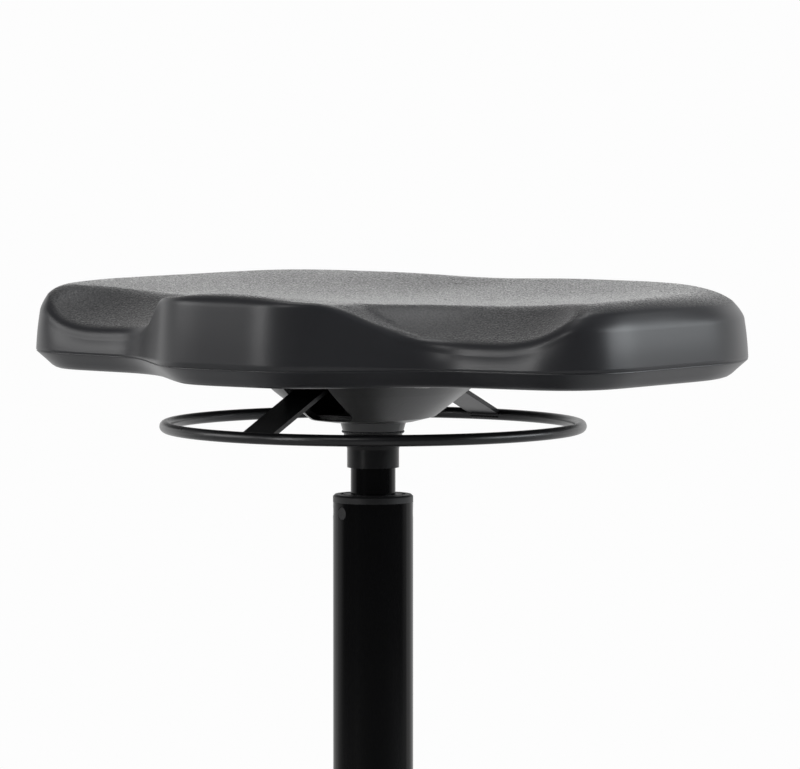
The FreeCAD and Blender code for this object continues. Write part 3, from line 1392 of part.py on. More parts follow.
def seat_pad():
    """Self-skinning foam moulded round the board, with a recess for the mounting plate."""
    form = pad_form()
    for side in (-1, 1):
        form = form.cut(thigh_tool(side))
    for hollow in pad_hollows():
        form = form.cut(hollow)
    gap = s.pad_gap.value
    rounding = s.board_rounding.value + gap
    board = [(x.value, y.value, rounding) for x, y in board_corners(s.pad_gap)]
    board_room = solid_from(board, board_z.value - gap, board_top.value + gap)
    plate = [(x.value, y.value, s.plate_rounding.value) for x, y in plate_corners(s.recess_gap)]
    plate_room = solid_from(plate, pad_low.value - gap, board_z.value + gap)
    rooms = [board_room, plate_room]
    for x_side in (-1, 1):
        for y_side in (-1, 1):
            spot = FreeCAD.Vector(x_side * s.bolt_side.value, y_side * s.bolt_long.value,
                                  board_top.value)
            rooms.append(Part.makeCylinder(s.tee_flange_radius.value + gap,
                                           s.tee_flange_thick.value + gap, spot))
    for room in rooms:
        form = form.cut(room)
    pad = doc.addObject("Part::Feature", "seat_pad")
    pad.Label = "seat_pad"
    pad.Shape = form
    pad.Placement = FreeCAD.Placement()
    return pad


def solid_from(corners, low, high):
    """Straight block with rounded corners between two heights."""
    face = Part.Face(rounded_loop(corners, low))
    return face.extrude(FreeCAD.Vector(0, 0, high - low))


# Release ring and bar

def release_ring():
    body = new_body("release_ring")
    sketch = plane_sketch(body, "XZ_Plane", "release_ring_section")
    ring_of(sketch, s.ring_radius, ring_z, s.ring_rod_radius)
    revolve(body, sketch, "release_ring_turn")
    return body


def release_bar():
    """Bent strip across the ring: level over the pin, arms down to the ring."""
    slope = tangent(s.bar_angle)
    end = s.ring_radius
    drop = (end - s.bar_level_half) * slope
    body = new_body("release_bar")
    side = plane_sketch(body, "YZ_Plane", "release_bar_side")
    trace(side, [
        (-end, bar_under - drop),
        (-s.bar_level_half, bar_under),
        (s.bar_level_half, bar_under),
        (end, bar_under - drop),
        (end, bar_top - drop),
        (s.bar_level_half, bar_top),
        (-s.bar_level_half, bar_top),
        (-end, bar_top - drop)])
    extrude(body, side, "release_bar_pad", s.bar_width, both_ways=True)
    notch = plane_sketch(body, "XZ_Plane", "release_bar_notch")
    ring_of(notch, s.ring_radius, ring_z, s.ring_rod_radius + s.weld_gap)
    revolve(body, notch, "release_bar_ring_seat", groove=True)
    return body


PIECES = [
    base_tread(), base_weight(), base_shell(), shell_screws(), base_socket(), socket_bolts(),
    column_collar(), stand_tube(), guide_bush(), tube_bottom_plate(),
    race("lower_race", lower_race_z, s.rod_stub_radius + s.race_hole_gap),
    bearing_balls(), ball_cage(),
    race("upper_race", upper_race_z, s.rod_stub_radius + s.race_seat_gap),
    bumper(), rod_clip(), piston_rod(), piston(), piston_seal(), piston_nut(),
    pressure_tube(), cylinder_liner(), rod_guide(), rod_seal(), valve_body(), valve_orings(),
    valve_pin(), taper_socket(), hub_bowl(), mount_plate(), seat_screws(), seat_washers(),
    tee_nuts(), seat_board(), seat_pad(), release_ring(), release_bar()]

doc.recompute()

# Checks before anything is written
for item in doc.Objects:
    trouble = [word for word in item.State if word in ("Invalid", "Error")]
    if trouble:
        raise RuntimeError("%s is %s" % (item.Name, trouble))
for piece in PIECES:
    if piece.Shape.isNull() or not piece.Shape.isValid() or not piece.Shape.Solids:
        raise RuntimeError("%s has no valid solid" % piece.Label)

os.makedirs("parts", exist_ok=True)
for piece in PIECES:
    piece.Shape.exportStep("parts/%s.step" % piece.Label)
    print("%-18s solids %d  volume %10.1f mm3" % (
        piece.Label, len(piece.Shape.Solids), piece.Shape.Volume))
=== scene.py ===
# %% [markdown]
# # Perch stool
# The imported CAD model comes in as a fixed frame, in metres, standing on the floor with
# +Z up and the seat's horn towards -Y. This lesson dresses it: the seat is remade as one
# smooth moulding, the welds that CAD leaves out are added, and each piece gets its finish.

# %% Load the frame
import math

import bmesh
import bpy
import numpy as np
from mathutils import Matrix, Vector


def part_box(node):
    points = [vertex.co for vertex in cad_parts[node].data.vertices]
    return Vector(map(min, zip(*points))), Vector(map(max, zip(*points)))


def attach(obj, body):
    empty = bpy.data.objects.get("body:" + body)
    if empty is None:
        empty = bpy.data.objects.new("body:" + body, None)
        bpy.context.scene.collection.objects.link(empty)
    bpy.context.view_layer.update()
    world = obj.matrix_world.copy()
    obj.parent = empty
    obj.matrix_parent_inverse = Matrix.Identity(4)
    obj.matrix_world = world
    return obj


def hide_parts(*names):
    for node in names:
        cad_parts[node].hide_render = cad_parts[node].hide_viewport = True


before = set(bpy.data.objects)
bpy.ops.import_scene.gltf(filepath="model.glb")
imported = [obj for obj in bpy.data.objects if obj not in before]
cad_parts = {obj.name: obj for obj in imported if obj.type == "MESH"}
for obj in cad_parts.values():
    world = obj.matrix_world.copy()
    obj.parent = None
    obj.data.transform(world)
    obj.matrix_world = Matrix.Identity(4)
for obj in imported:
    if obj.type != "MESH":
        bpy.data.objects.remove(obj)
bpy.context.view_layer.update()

MM = 0.001

# %% [markdown]
# ## Heights that the pieces share
# The ring's plane is the reference for everything under the seat, so it is read from the
# CAD ring itself, and the seat's levels are counted from it in millimetres.

# %% Ring plane
ROD_R = 3.6  # half the thickness of the ring's rod
ring_low, ring_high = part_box("release_ring")
RING_Z = (ring_low[2] + ring_high[2]) / 2 / MM
RING_R = (ring_high[0] - ring_low[0]) / 2 / MM - ROD_R
print("ring plane %.1f mm, ring radius %.1f mm" % (RING_Z, RING_R))

# %% [markdown]
# ## The seat's outline
# The real seat is one moulding of self-skinning foam. Seen from above it has a blunt horn
# in front, a waist on each side of it, two lobes and a broad round back. The outline starts
# as straight runs between rounded corners. Running a soft average round the loop then
# eases each run into its corner, which is what makes the highlights fade in and out on the
# real moulding instead of stopping at a line.

# %% Outline
# Corner across, corner along, rounding, all in millimetres from the column's axis
CORNERS = (
    (42.0, -167.0, 58.0), (112.0, -97.0, 58.0), (217.0, -86.0, 52.0), (231.0, 162.0, 112.0))
CORNER_POINTS = 60
COLUMNS = 640  # points round the finished outline
EASE = 8.0  # reach of the soft average


def rounded_loop(corners):
    """Dense points along straight runs and the arcs that join them."""
    spots = [np.array(c[:2]) for c in corners]
    points = []
    for n, (x, y, rounding) in enumerate(corners):
        back = spots[n - 1] - spots[n]
        ahead = spots[(n + 1) % len(spots)] - spots[n]
        back /= np.linalg.norm(back)
        ahead /= np.linalg.norm(ahead)
        half = math.acos(float(np.clip(back @ ahead, -1, 1))) / 2
        middle = (back + ahead) / np.linalg.norm(back + ahead)
        hub = spots[n] + middle * rounding / math.sin(half)
        first = spots[n] + back * rounding / math.tan(half) - hub
        last = spots[n] + ahead * rounding / math.tan(half) - hub
        angle = math.atan2(first[1], first[0])
        sweep = math.atan2(last[1], last[0]) - angle
        sweep = (sweep + math.pi) % (2 * math.pi) - math.pi
        for turn in angle + sweep * np.linspace(0, 1, CORNER_POINTS):
            points.append(hub + rounding * np.array([math.cos(turn), math.sin(turn)]))
    return np.array(points)


def even_steps(points, count):
    """The same closed loop at equal steps along its length."""
    closed = np.vstack([points, points[:1]])
    run = np.concatenate([[0], np.cumsum(np.linalg.norm(np.diff(closed, axis=0), axis=1))])
    spots = np.linspace(0, run[-1], count, endpoint=False)
    loop = np.column_stack([np.interp(spots, run, closed[:, k]) for k in (0, 1)])
    return loop, run[-1] / count


def eased(values, reach):
    """Soft average round a closed loop."""
    steps = np.arange(-20, 21)
    weights = np.exp(-0.5 * (steps / reach) ** 2)
    weights /= weights.sum()
    return sum(w * np.roll(values, s, axis=0) for w, s in zip(weights, steps))


mirrored = [(-x, y, r) for x, y, r in reversed(CORNERS)]
rim, step = even_steps(rounded_loop(list(CORNERS) + mirrored), COLUMNS)
rim = eased(rim, EASE / step)
tangent = np.roll(rim, -1, axis=0) - np.roll(rim, 1, axis=0)
tangent /= np.linalg.norm(tangent, axis=1)[:, None]
inward = np.column_stack([-tangent[:, 1], tangent[:, 0]])
print("outline: %d columns, %.1f x %.1f mm" % (COLUMNS, *np.ptp(rim, axis=0)))

# %% [markdown]
# ## The top's height
# The height of the top is known at some spots, read off the photograph's two skylines, and
# guessed at the others. A thin-plate spline, the shape of springy sheet held down at those
# spots, fills in between them.

# %% Heights at known spots
# Across, along and height above the ring's plane, for the right half
SPOTS = (
    (0, -178, 89.6), (0, -150, 89.8), (28, -163, 89.2), (43, -154, 86.8), (57, -141, 84.4),
    (73, -125, 83.0), (0, -110, 85.8), (0, -60, 81.6), (0, 0, 78.8), (0, 50, 79.0),
    (0, 100, 82.2), (0, 145, 88.4), (43, 142, 88.8), (70, 139, 88.9), (110, 132, 88.4),
    (150, 116, 87.8), (190, 94, 86.6), (212, 42, 86.3), (216, 0, 86.6), (210, -36, 86.2),
    (190, -58, 84.6), (135, -47, 81.2), (100, -72, 82.0), (135, 0, 82.0), (120, 60, 83.0),
    (60, 0, 79.4), (60, -70, 81.8), (142, -110, 82.0), (240, 160, 86.5), (240, -100, 84.0),
    (60, 175, 89.4), (120, -140, 82.0), (60, -190, 86.0), (150, 175, 88.0))
pins = np.array([(s * x, y, z) for x, y, z in SPOTS for s in ((1, -1) if x else (1,))], float)
SPAN = 100  # the spline is solved in steps of this many millimetres
SLACK = 0.002  # how far the sheet may miss a spot, which keeps it calm
pins[:, :2] /= SPAN


def plate_terms(distance):
    """How one spot's pull falls off across the sheet."""
    safe = np.maximum(distance, 1e-9)
    return safe ** 2 * np.log(safe)


gaps = np.linalg.norm(pins[:, None, :2] - pins[None, :, :2], axis=2)
plane = np.column_stack([np.ones(len(pins)), pins[:, :2]])
system = np.block([[plate_terms(gaps) + SLACK * np.eye(len(pins)), plane],
                   [plane.T, np.zeros((3, 3))]])
weights = np.linalg.solve(system, np.concatenate([pins[:, 2], np.zeros(3)]))


def top_height(spots):
    """The top above the ring's plane, before the thigh hollows."""
    scaled = spots / SPAN
    gaps = np.linalg.norm(scaled[:, None, :] - pins[None, :, :2], axis=2)
    flat = np.column_stack([np.ones(len(spots)), scaled])
    return plate_terms(gaps) @ weights[:-3] + flat @ weights[-3:]


# %% [markdown]
# ## Wall, shoulder and thigh hollows
# Above the parting line a nearly upright wall runs round the seat, and a rounded shoulder
# leads from it onto the top: narrow at the horn, steep along the lobes and broad at the
# back. Each thigh hollow is a second surface that opens to the front. Where it is lower it
# wins, and a soft minimum rounds the crest where the two meet.

# %% Height functions
UNDERSIDE = 32.5
WALL_TOP = 72.0
HORN_WALL_TOP = 86.0
DRAFT = 3.0  # how far the wall leans in on its way up
CREST = 3.5  # rounding between a hollow and the top
RIM = 9.0  # the same at the wall's upper edge
THIGH_ACROSS, THIGH_ALONG = 142.0, -91.5  # a hollow's lowest point, at the front edge
THIGH_TURN = 9.0  # degrees that it opens outwards
THIGH_LOW = 60.2
THIGH_LENGTH = 90
THIGH_SIDE_RISE = 15.0


def ramp(value, low, high):
    """Smooth step from 0 to 1."""
    t = np.clip((value - low) / (high - low), 0.0, 1.0)
    return t * t * (3 - 2 * t)


def soft_min(a, b, blend):
    """The lower of two heights, rounded where they cross."""
    h = np.maximum(blend - np.abs(a - b), 0.0) / blend
    return np.minimum(a, b) - h * h * blend / 4


def thigh_height(spots):
    """The hollow for the thigh on each point's own side."""
    side = np.where(spots[:, 0] < 0, -1.0, 1.0)
    turn = math.radians(THIGH_TURN)
    dx = side * spots[:, 0] - THIGH_ACROSS
    dy = spots[:, 1] - THIGH_ALONG
    across = math.cos(turn) * dx + math.sin(turn) * dy
    depth = -math.sin(turn) * dx + math.cos(turn) * dy
    deep = np.clip(depth, 0, THIGH_LENGTH)
    bottom = THIGH_LOW + 0.30 * deep + 0.0033 * deep ** 2
    narrow = np.minimum(deep, 60)
    half = np.where(across > 0, 60.0 - 0.22 * narrow, 69.0 - 0.55 * narrow)
    return bottom + THIGH_SIDE_RISE * (np.abs(across) / half) ** 2.5


horn_share = ramp(-rim[:, 1], 94, 124)
back_share = ramp(rim[:, 1], -10, 90)
wall = WALL_TOP + (HORN_WALL_TOP - WALL_TOP) * horn_share
shoulder = 22.0 + 16.0 * back_share - 9.0 * horn_share


def bend_curve(start_pull, end_pull):
    """A curve from 0 to 1 with two handles."""
    t = np.linspace(0, 1, 80)
    return 3 * t * (1 - t) ** 2 * start_pull + 3 * t ** 2 * (1 - t) * end_pull + t ** 3


# The shoulder's curve: share of its width against share of its rise
bend_across = bend_curve(0.13, 0.36)
bend_up = bend_curve(0.46, 1.0)


def surface(spots, share):
    """Height of the seat's upper side, where share is how far across the shoulder."""
    rise = np.interp(share, bend_across, bend_up)
    form = wall + (top_height(spots) - wall) * rise
    return soft_min(form, thigh_height(spots), RIM + (CREST - RIM) * np.clip(share, 0, 1))


def drawn_in(inset):
    """The outline moved inwards, by one inset or by one for each column."""
    return rim + inward * np.broadcast_to(np.asarray(inset, float), (COLUMNS,))[:, None]


# %% [markdown]
# ## Building the seat
# The rows run from the edge of the recess under the seat, out to the wall and back over
# the top to the middle. At the foot of the shoulder the wall meets the upper surface in a
# crease. There a curve through three points per column rounds it, so it catches the light
# as a thin line. A fine groove marks where the two halves of the mould met.

# %% Rows of the seat
WALL_FOOT = 44.5  # just above the groove of the parting line
FOOT_LEAN = 0.25
WALL_ROWS = 12
CREASE_ROWS = 8
SHOULDER_ROWS = 26
TOP_ROWS = 36
rows = []


def add_row(loop, height):
    """One loop of points at one height, or at a height each."""
    heights = np.broadcast_to(np.asarray(height, dtype=float), (len(loop),))
    rows.append(np.column_stack([loop, heights]))


# From the flat underside up the chamfer to the groove of the parting line
for inset, height in ((17.0, UNDERSIDE), (14.6, 32.72), (12.4, 33.4), (10.2, 34.8),
                      (7.6, 37.2), (5.0, 39.5), (2.6, 41.6), (0.9, 43.1), (0.45, 43.55),
                      (0.95, 43.85), (0.95, 44.15), (FOOT_LEAN, WALL_FOOT)):
    add_row(drawn_in(inset), height)

edge_spots = drawn_in(DRAFT)
edge = surface(edge_spots, np.zeros(COLUMNS))
crease = 4.0 + 3.0 * ramp(WALL_TOP - edge, 0, 6)
for n in range(1, WALL_ROWS + 1):
    share = n / WALL_ROWS
    lean = (FOOT_LEAN + (DRAFT - FOOT_LEAN) * share * 0.86
            - 0.35 * math.sin(math.pi * share))
    add_row(drawn_in(lean), WALL_FOOT + (edge - crease - WALL_FOOT) * share)
below = rows[-1]
corner = np.column_stack([edge_spots, edge])
reach = 0.14 * shoulder + 0.4 * crease
past_spots = drawn_in(DRAFT + reach)
past = np.column_stack([past_spots, surface(past_spots, reach / shoulder)])
for n in range(1, CREASE_ROWS + 1):
    t = n / (CREASE_ROWS + 1)
    rows.append((1 - t) ** 2 * below + 2 * t * (1 - t) * corner + t * t * past)
rows.append(past)
for n in range(1, SHOULDER_ROWS + 1):
    inset = reach + (shoulder - reach) * n / SHOULDER_ROWS
    spots = drawn_in(DRAFT + inset)
    rows.append(np.column_stack([spots, surface(spots, inset / shoulder)]))
inner = rows[-1][:, :2]
centre = np.array([0.0, -10.0])
for n in range(1, TOP_ROWS):
    spots = centre + (inner - centre) * (1 - n / TOP_ROWS)
    rows.append(np.column_stack([spots, surface(spots, np.ones(COLUMNS))]))

# %% [markdown]
# Under the seat a recess takes the mounting plate, and inside it a wider space holds the
# plywood board. Both outlines are read from the CAD pieces and met by rays from the
# middle, one for each column, so the recess joins the same strips as the rest.

# %% Recess and board space
PLATE_ROOM = 2.0
BOARD_ROOM = 0.3
ROOF_ROOM = 1.8
plate_low, plate_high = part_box("mount_plate")
board_low, board_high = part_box("seat_board")


def ray_hits(polygon, columns):
    """Where the ray from the middle through each column's point meets a polygon."""
    hits = []
    for x, y in columns:
        nearest = None
        for n in range(len(polygon)):
            ax, ay = polygon[n]
            bx, by = polygon[(n + 1) % len(polygon)]
            ex, ey = bx - ax, by - ay
            cross = x * ey - y * ex
            if abs(cross) < 1e-9:
                continue
            along_ray = (ax * ey - ay * ex) / cross
            along_side = (ax * y - ay * x) / cross
            if along_ray > 0 and -1e-9 <= along_side <= 1 + 1e-9:
                if nearest is None or along_ray < nearest:
                    nearest = along_ray
        hits.append((x * nearest, y * nearest))
    return np.array(hits)


def cut_rectangle(side, front, back, cut_side, cut_long):
    """Rectangle with its corners cut off."""
    return [
        (side - cut_side, front), (side, front + cut_long), (side, back - cut_long),
        (side - cut_side, back), (-side + cut_side, back), (-side, back - cut_long),
        (-side, front + cut_long), (-side + cut_side, front)]


plate_side = plate_high[0] / MM + PLATE_ROOM
plate_long = plate_high[1] / MM + PLATE_ROOM
recess = ray_hits(cut_rectangle(plate_side, -plate_long, plate_long, 34.0, 28.0), rim)
board = ray_hits(cut_rectangle(
    board_high[0] / MM + BOARD_ROOM, board_low[1] / MM - BOARD_ROOM,
    board_high[1] / MM + BOARD_ROOM, 12.0, 12.0), rim)
board_under = board_low[2] / MM - RING_Z - BOARD_ROOM
board_roof = board_high[2] / MM - RING_Z + ROOF_ROOM
first = rows[0]
under = []
for share in (0.75, 0.5, 0.25):
    add = recess + (first[:, :2] - recess) * share
    under.append(np.column_stack([add, np.full(COLUMNS, UNDERSIDE)]))
lip = []
for inset, height in ((1.4, 0.0), (0.4, 0.4), (0.0, 1.4)):
    grown = recess * (1 + inset / np.linalg.norm(recess, axis=1))[:, None]
    lip.append(np.column_stack([grown, np.full(COLUMNS, UNDERSIDE + height)]))
space = [
    np.column_stack([recess, np.full(COLUMNS, board_under)]),
    np.column_stack([board, np.full(COLUMNS, board_under)]),
    np.column_stack([board, np.full(COLUMNS, board_roof)])]
rows = [space[2], space[1], space[0], lip[2], lip[1], lip[0]] + under[::-1] + rows
print("seat: %d rows of %d points" % (len(rows), COLUMNS))


# %% Join the rows into one closed mesh
def skin_rows(name, rows, low_centre, high_centre):
    """Closed mesh of strips between equal loops, with a fan at each end."""
    count = len(rows[0])
    points = np.vstack(rows + [low_centre, high_centre]) * MM
    faces = []
    for r in range(len(rows) - 1):
        base = r * count
        for n in range(count):
            m = (n + 1) % count
            faces.append((base + n, base + m, base + count + m, base + count + n))
    low = len(points) - 2
    high = len(points) - 1
    top = (len(rows) - 1) * count
    for n in range(count):
        m = (n + 1) % count
        faces.append((low, m, n))
        faces.append((high, top + n, top + m))
    mesh = bpy.data.meshes.new(name)
    mesh.from_pydata([tuple(p) for p in points], [], faces)
    mesh.update()
    mesh.shade_smooth()
    obj = bpy.data.objects.new(name, mesh)
    bpy.context.scene.collection.objects.link(obj)
    return obj


def raised(rows):
    """The same rows with heights counted from the floor."""
    return [row + np.array([0.0, 0.0, RING_Z]) for row in rows]


middle_top = float(top_height(centre[None, :])[0])
seat = skin_rows(
    "seat", raised(rows), np.array([[0.0, 0.0, board_roof + RING_Z]]),
    np.array([[centre[0], centre[1], middle_top + RING_Z]]))
print("seat: %d faces, top %.1f mm" % (
    len(seat.data.polygons), max(v.co.z for v in seat.data.vertices) / MM))

# %% [markdown]
# ## Where the skin is grained and its top painted lighter
# The real mould is textured on the surfaces that face up and polished on the walls. The mesh
# stores that as a number per point, from how far its normal leans, and the material reads it.
# The material also uses this number to paint the upward faces a lighter grey, which is
# painted light: the skin's own colour is the same dark charcoal all over.

# %% Grain and painted top light attribute
GRAIN_AND_TOP_LIGHT_STARTS, GRAIN_AND_TOP_LIGHT_FULL = 0.60, 0.985
normals = np.empty(len(seat.data.vertices) * 3, dtype=np.float32)
seat.data.vertices.foreach_get("normal", normals)
upward = normals.reshape(-1, 3)[:, 2]
# One number per point for the grain and for the painted light that makes the top paler
grain = seat.data.attributes.new("grain", "FLOAT", "POINT")
grain_and_top_light_share = ramp(upward, GRAIN_AND_TOP_LIGHT_STARTS, GRAIN_AND_TOP_LIGHT_FULL)
grain.data.foreach_set("value", grain_and_top_light_share.astype(np.float32))
print("grained share of the points: %.2f" % float((grain_and_top_light_share > 0.5).mean()))


# %% [markdown]
# ## Finishes
# Every finish starts from the same few nodes: Object coordinates feed one fine noise for
# the bump and one broad noise that shifts the colour and the roughness a little, because
# no painted or moulded face is even. The helper takes the numbers and returns the
# material, so a finish is one line.

# %% Helper for paints, plastics and metals
def new_material(name):
    """A material with its tree, its shader and its coordinates."""
    material = bpy.data.materials.new(name)
    material.use_nodes = True
    tree = material.node_tree
    shader = tree.nodes["Principled BSDF"]
    place = tree.nodes.new("ShaderNodeTexCoord")
    return material, tree, shader, place


def noise(tree, place, scale, detail=3.0, stretch=(1, 1, 1)):
    """Noise laid in the object's own coordinates."""
    spread = tree.nodes.new("ShaderNodeMapping")
    spread.inputs["Scale"].default_value = stretch
    node = tree.nodes.new("ShaderNodeTexNoise")
    node.inputs["Scale"].default_value = scale
    node.inputs["Detail"].default_value = detail
    tree.links.new(place.outputs["Object"], spread.inputs["Vector"])
    tree.links.new(spread.outputs["Vector"], node.inputs["Vector"])
    return node.outputs["Fac"]


def between(tree, factor, low, high):
    """A number that moves between two values with a factor."""
    node = tree.nodes.new("ShaderNodeMapRange")
    node.inputs["From Min"].default_value = 0.35
    node.inputs["From Max"].default_value = 0.65
    node.inputs["To Min"].default_value = low
    node.inputs["To Max"].default_value = high
    tree.links.new(factor, node.inputs["Value"])
    return node.outputs["Result"]


def two_tone(tree, factor, low, high):
    """A colour that moves between two colours with a factor."""
    node = tree.nodes.new("ShaderNodeMix")
    node.data_type = "RGBA"
    node.inputs["A"].default_value = (*low, 1)
    node.inputs["B"].default_value = (*high, 1)
    tree.links.new(factor, node.inputs["Factor"])
    return node.outputs["Result"]


def bump(tree, shader, height, strength, distance):
    """Relief that only the light feels."""
    node = tree.nodes.new("ShaderNodeBump")
    node.inputs["Strength"].default_value = strength
    node.inputs["Distance"].default_value = distance
    tree.links.new(height, node.inputs["Height"])
    tree.links.new(node.outputs["Normal"], shader.inputs["Normal"])


def finish(name, colour, rough, metal=0.0, specular=0.5, grain=900, depth=0.1,
           spread=0.12, patch=18, stretch=(1, 1, 1), coat=0.0):
    """Even finish with fine grain and a little unevenness in colour and gloss."""
    material, tree, shader, place = new_material(name)
    shader.inputs["Metallic"].default_value = metal
    shader.inputs["Specular IOR Level"].default_value = specular
    shader.inputs["Coat Weight"].default_value = coat
    shader.inputs["Coat Roughness"].default_value = 0.08
    broad = noise(tree, place, patch)
    dark = tuple(c * (1 - spread) for c in colour)
    light = tuple(min(1.0, c * (1 + spread)) for c in colour)
    tree.links.new(two_tone(tree, broad, dark, light), shader.inputs["Base Color"])
    tree.links.new(between(tree, broad, rough * 0.9, rough * 1.1), shader.inputs["Roughness"])
    fine = noise(tree, place, grain, 4.0, stretch)
    bump(tree, shader, fine, depth, 0.0004)
    material.diffuse_color = (*colour, 1)
    return material


gloss_black = finish("column_gloss_black", (0.003, 0.003, 0.0032), 0.12, specular=0.09,
                     grain=260, depth=0.04)
powder_black = finish("ring_powder_black", (0.004, 0.004, 0.0045), 0.30, specular=0.5,
                      grain=1400, depth=0.12)
satin_black = finish("socket_satin_black", (0.004, 0.004, 0.0044), 0.3, specular=0.25,
                     grain=900, depth=0.08)
bush_grey = finish("bush_moulded_grey", (0.010, 0.010, 0.0105), 0.45, specular=0.3,
                   grain=1600, depth=0.1)
shell_black = finish("base_textured_black", (0.018, 0.018, 0.019), 0.55, specular=0.4,
                     grain=1500, depth=0.35)
tread_black = finish("tread_rubber", (0.02, 0.02, 0.02), 0.8, specular=0.25, grain=700,
                     depth=0.2)
seal_black = finish("seal_rubber", (0.025, 0.025, 0.025), 0.7, specular=0.25, grain=900,
                    depth=0.1)
zinc = finish("zinc_plate", (0.55, 0.55, 0.53), 0.36, metal=1.0, grain=1200, depth=0.12)
ground_steel = finish("ground_steel", (0.42, 0.42, 0.43), 0.22, metal=1.0, grain=600,
                      depth=0.06, stretch=(1, 1, 8))
hard_chrome = finish("hard_chrome", (0.72, 0.72, 0.73), 0.08, metal=1.0, grain=500,
                     depth=0.02)
turned_alloy = finish("turned_alloy", (0.62, 0.62, 0.63), 0.3, metal=1.0, grain=500,
                      depth=0.1, stretch=(0.2, 0.2, 9))
cast_grey = finish("cast_weight_grey", (0.09, 0.09, 0.088), 0.75, metal=0.4, grain=500,
                   depth=0.6, spread=0.25)


# %% [markdown]
# ## Hub paint
# The hub is a grey casting under satin paint. It is lighter than the seat's wall and shows
# a faint orange-peel skin, so it gets a slightly larger grain.

# %% Hub
hub_grey = finish("hub_satin_grey", (0.035, 0.035, 0.0345), 0.33, specular=0.5, grain=420,
                  depth=0.12, spread=0.08)

# %% [markdown]
# ## Plywood
# The board is birch plywood. Its plies are thin level bands, so a wave along Z draws them
# and a stretched noise gives each ply its own grain.

# %% Plywood
plywood, tree, shader, place = new_material("birch_plywood")
layers = tree.nodes.new("ShaderNodeTexWave")
layers.bands_direction = "Z"
layers.inputs["Scale"].default_value = 210
layers.inputs["Distortion"].default_value = 0.4
tree.links.new(place.outputs["Object"], layers.inputs["Vector"])
tree.links.new(two_tone(tree, layers.outputs["Fac"], (0.38, 0.25, 0.13), (0.62, 0.46, 0.28)),
               shader.inputs["Base Color"])
fibre = noise(tree, place, 60, 5.0, (1, 14, 14))
tree.links.new(between(tree, fibre, 0.5, 0.72), shader.inputs["Roughness"])
bump(tree, shader, fibre, 0.2, 0.0005)

# %% [markdown]
# ## Seat skin
# One skin covers the whole seat. On the walls it is a dark, slightly bluish charcoal with a
# satin shine. On top the moulded grain scatters light into a sheen. The top's base colour is
# also painted a paler speckled grey as painted light, since the skin's own colour is the same
# dark charcoal all over. The grain attribute drives the painted paler colour, the sheen and
# how much of the bump comes through.

# %% Seat skin
seat_skin, tree, shader, place = new_material("seat_skin")
grain_and_top_light_node = tree.nodes.new("ShaderNodeAttribute")
grain_and_top_light_node.attribute_name = "grain"
grain_and_top_light_node.attribute_type = "GEOMETRY"
pebble = tree.nodes.new("ShaderNodeTexVoronoi")
pebble.feature = "SMOOTH_F1"
pebble.inputs["Scale"].default_value = 620
pebble.inputs["Smoothness"].default_value = 0.6
tree.links.new(place.outputs["Object"], pebble.inputs["Vector"])
speck = noise(tree, place, 900, 2.0)
broad = noise(tree, place, 14)
wall_colour = two_tone(tree, broad, (0.0145, 0.0147, 0.0165), (0.018, 0.0183, 0.0205))
# Painted light: a lighter base colour for the upward faces, speckled by a fine noise
speckled_painted_light_top_colour = two_tone(
    tree, between(tree, speck, 0, 1), (0.03, 0.03, 0.0305), (0.07, 0.07, 0.069))
# The grain attribute mixes the painted lighter top in over the wall colour
blend = tree.nodes.new("ShaderNodeMix")
blend.data_type = "RGBA"
tree.links.new(grain_and_top_light_node.outputs["Fac"], blend.inputs["Factor"])
tree.links.new(wall_colour, blend.inputs["A"])
tree.links.new(speckled_painted_light_top_colour, blend.inputs["B"])
tree.links.new(blend.outputs["Result"], shader.inputs["Base Color"])
gloss = tree.nodes.new("ShaderNodeMapRange")
gloss.inputs["To Min"].default_value = 0.36
gloss.inputs["To Max"].default_value = 0.58
tree.links.new(grain_and_top_light_node.outputs["Fac"], gloss.inputs["Value"])
tree.links.new(gloss.outputs["Result"], shader.inputs["Roughness"])
relief = tree.nodes.new("ShaderNodeMath")
relief.operation = "MULTIPLY"
tree.links.new(pebble.outputs["Distance"], relief.inputs[0])
tree.links.new(grain_and_top_light_node.outputs["Fac"], relief.inputs[1])
bump(tree, shader, relief.outputs["Value"], 0.5, 0.0006)
shader.inputs["Specular IOR Level"].default_value = 0.5
sheen = tree.nodes.new("ShaderNodeMapRange")
sheen.inputs["To Max"].default_value = 0.8
tree.links.new(grain_and_top_light_node.outputs["Fac"], sheen.inputs["Value"])
peaks = tree.nodes.new("ShaderNodeMath")
peaks.operation = "MULTIPLY"
tree.links.new(sheen.outputs["Result"], peaks.inputs[0])
tree.links.new(between(tree, speck, 0.05, 1.0), peaks.inputs[1])
tree.links.new(peaks.outputs["Value"], shader.inputs["Sheen Weight"])
shader.inputs["Sheen Tint"].default_value = (1.0, 0.985, 0.96, 1)
shader.inputs["Sheen Roughness"].default_value = 0.35

# %% [markdown]
# ## Giving each CAD piece its finish
# A CAD node that keeps its shape only needs its slots filled. The table below pairs each
# node with the finish of the real piece.

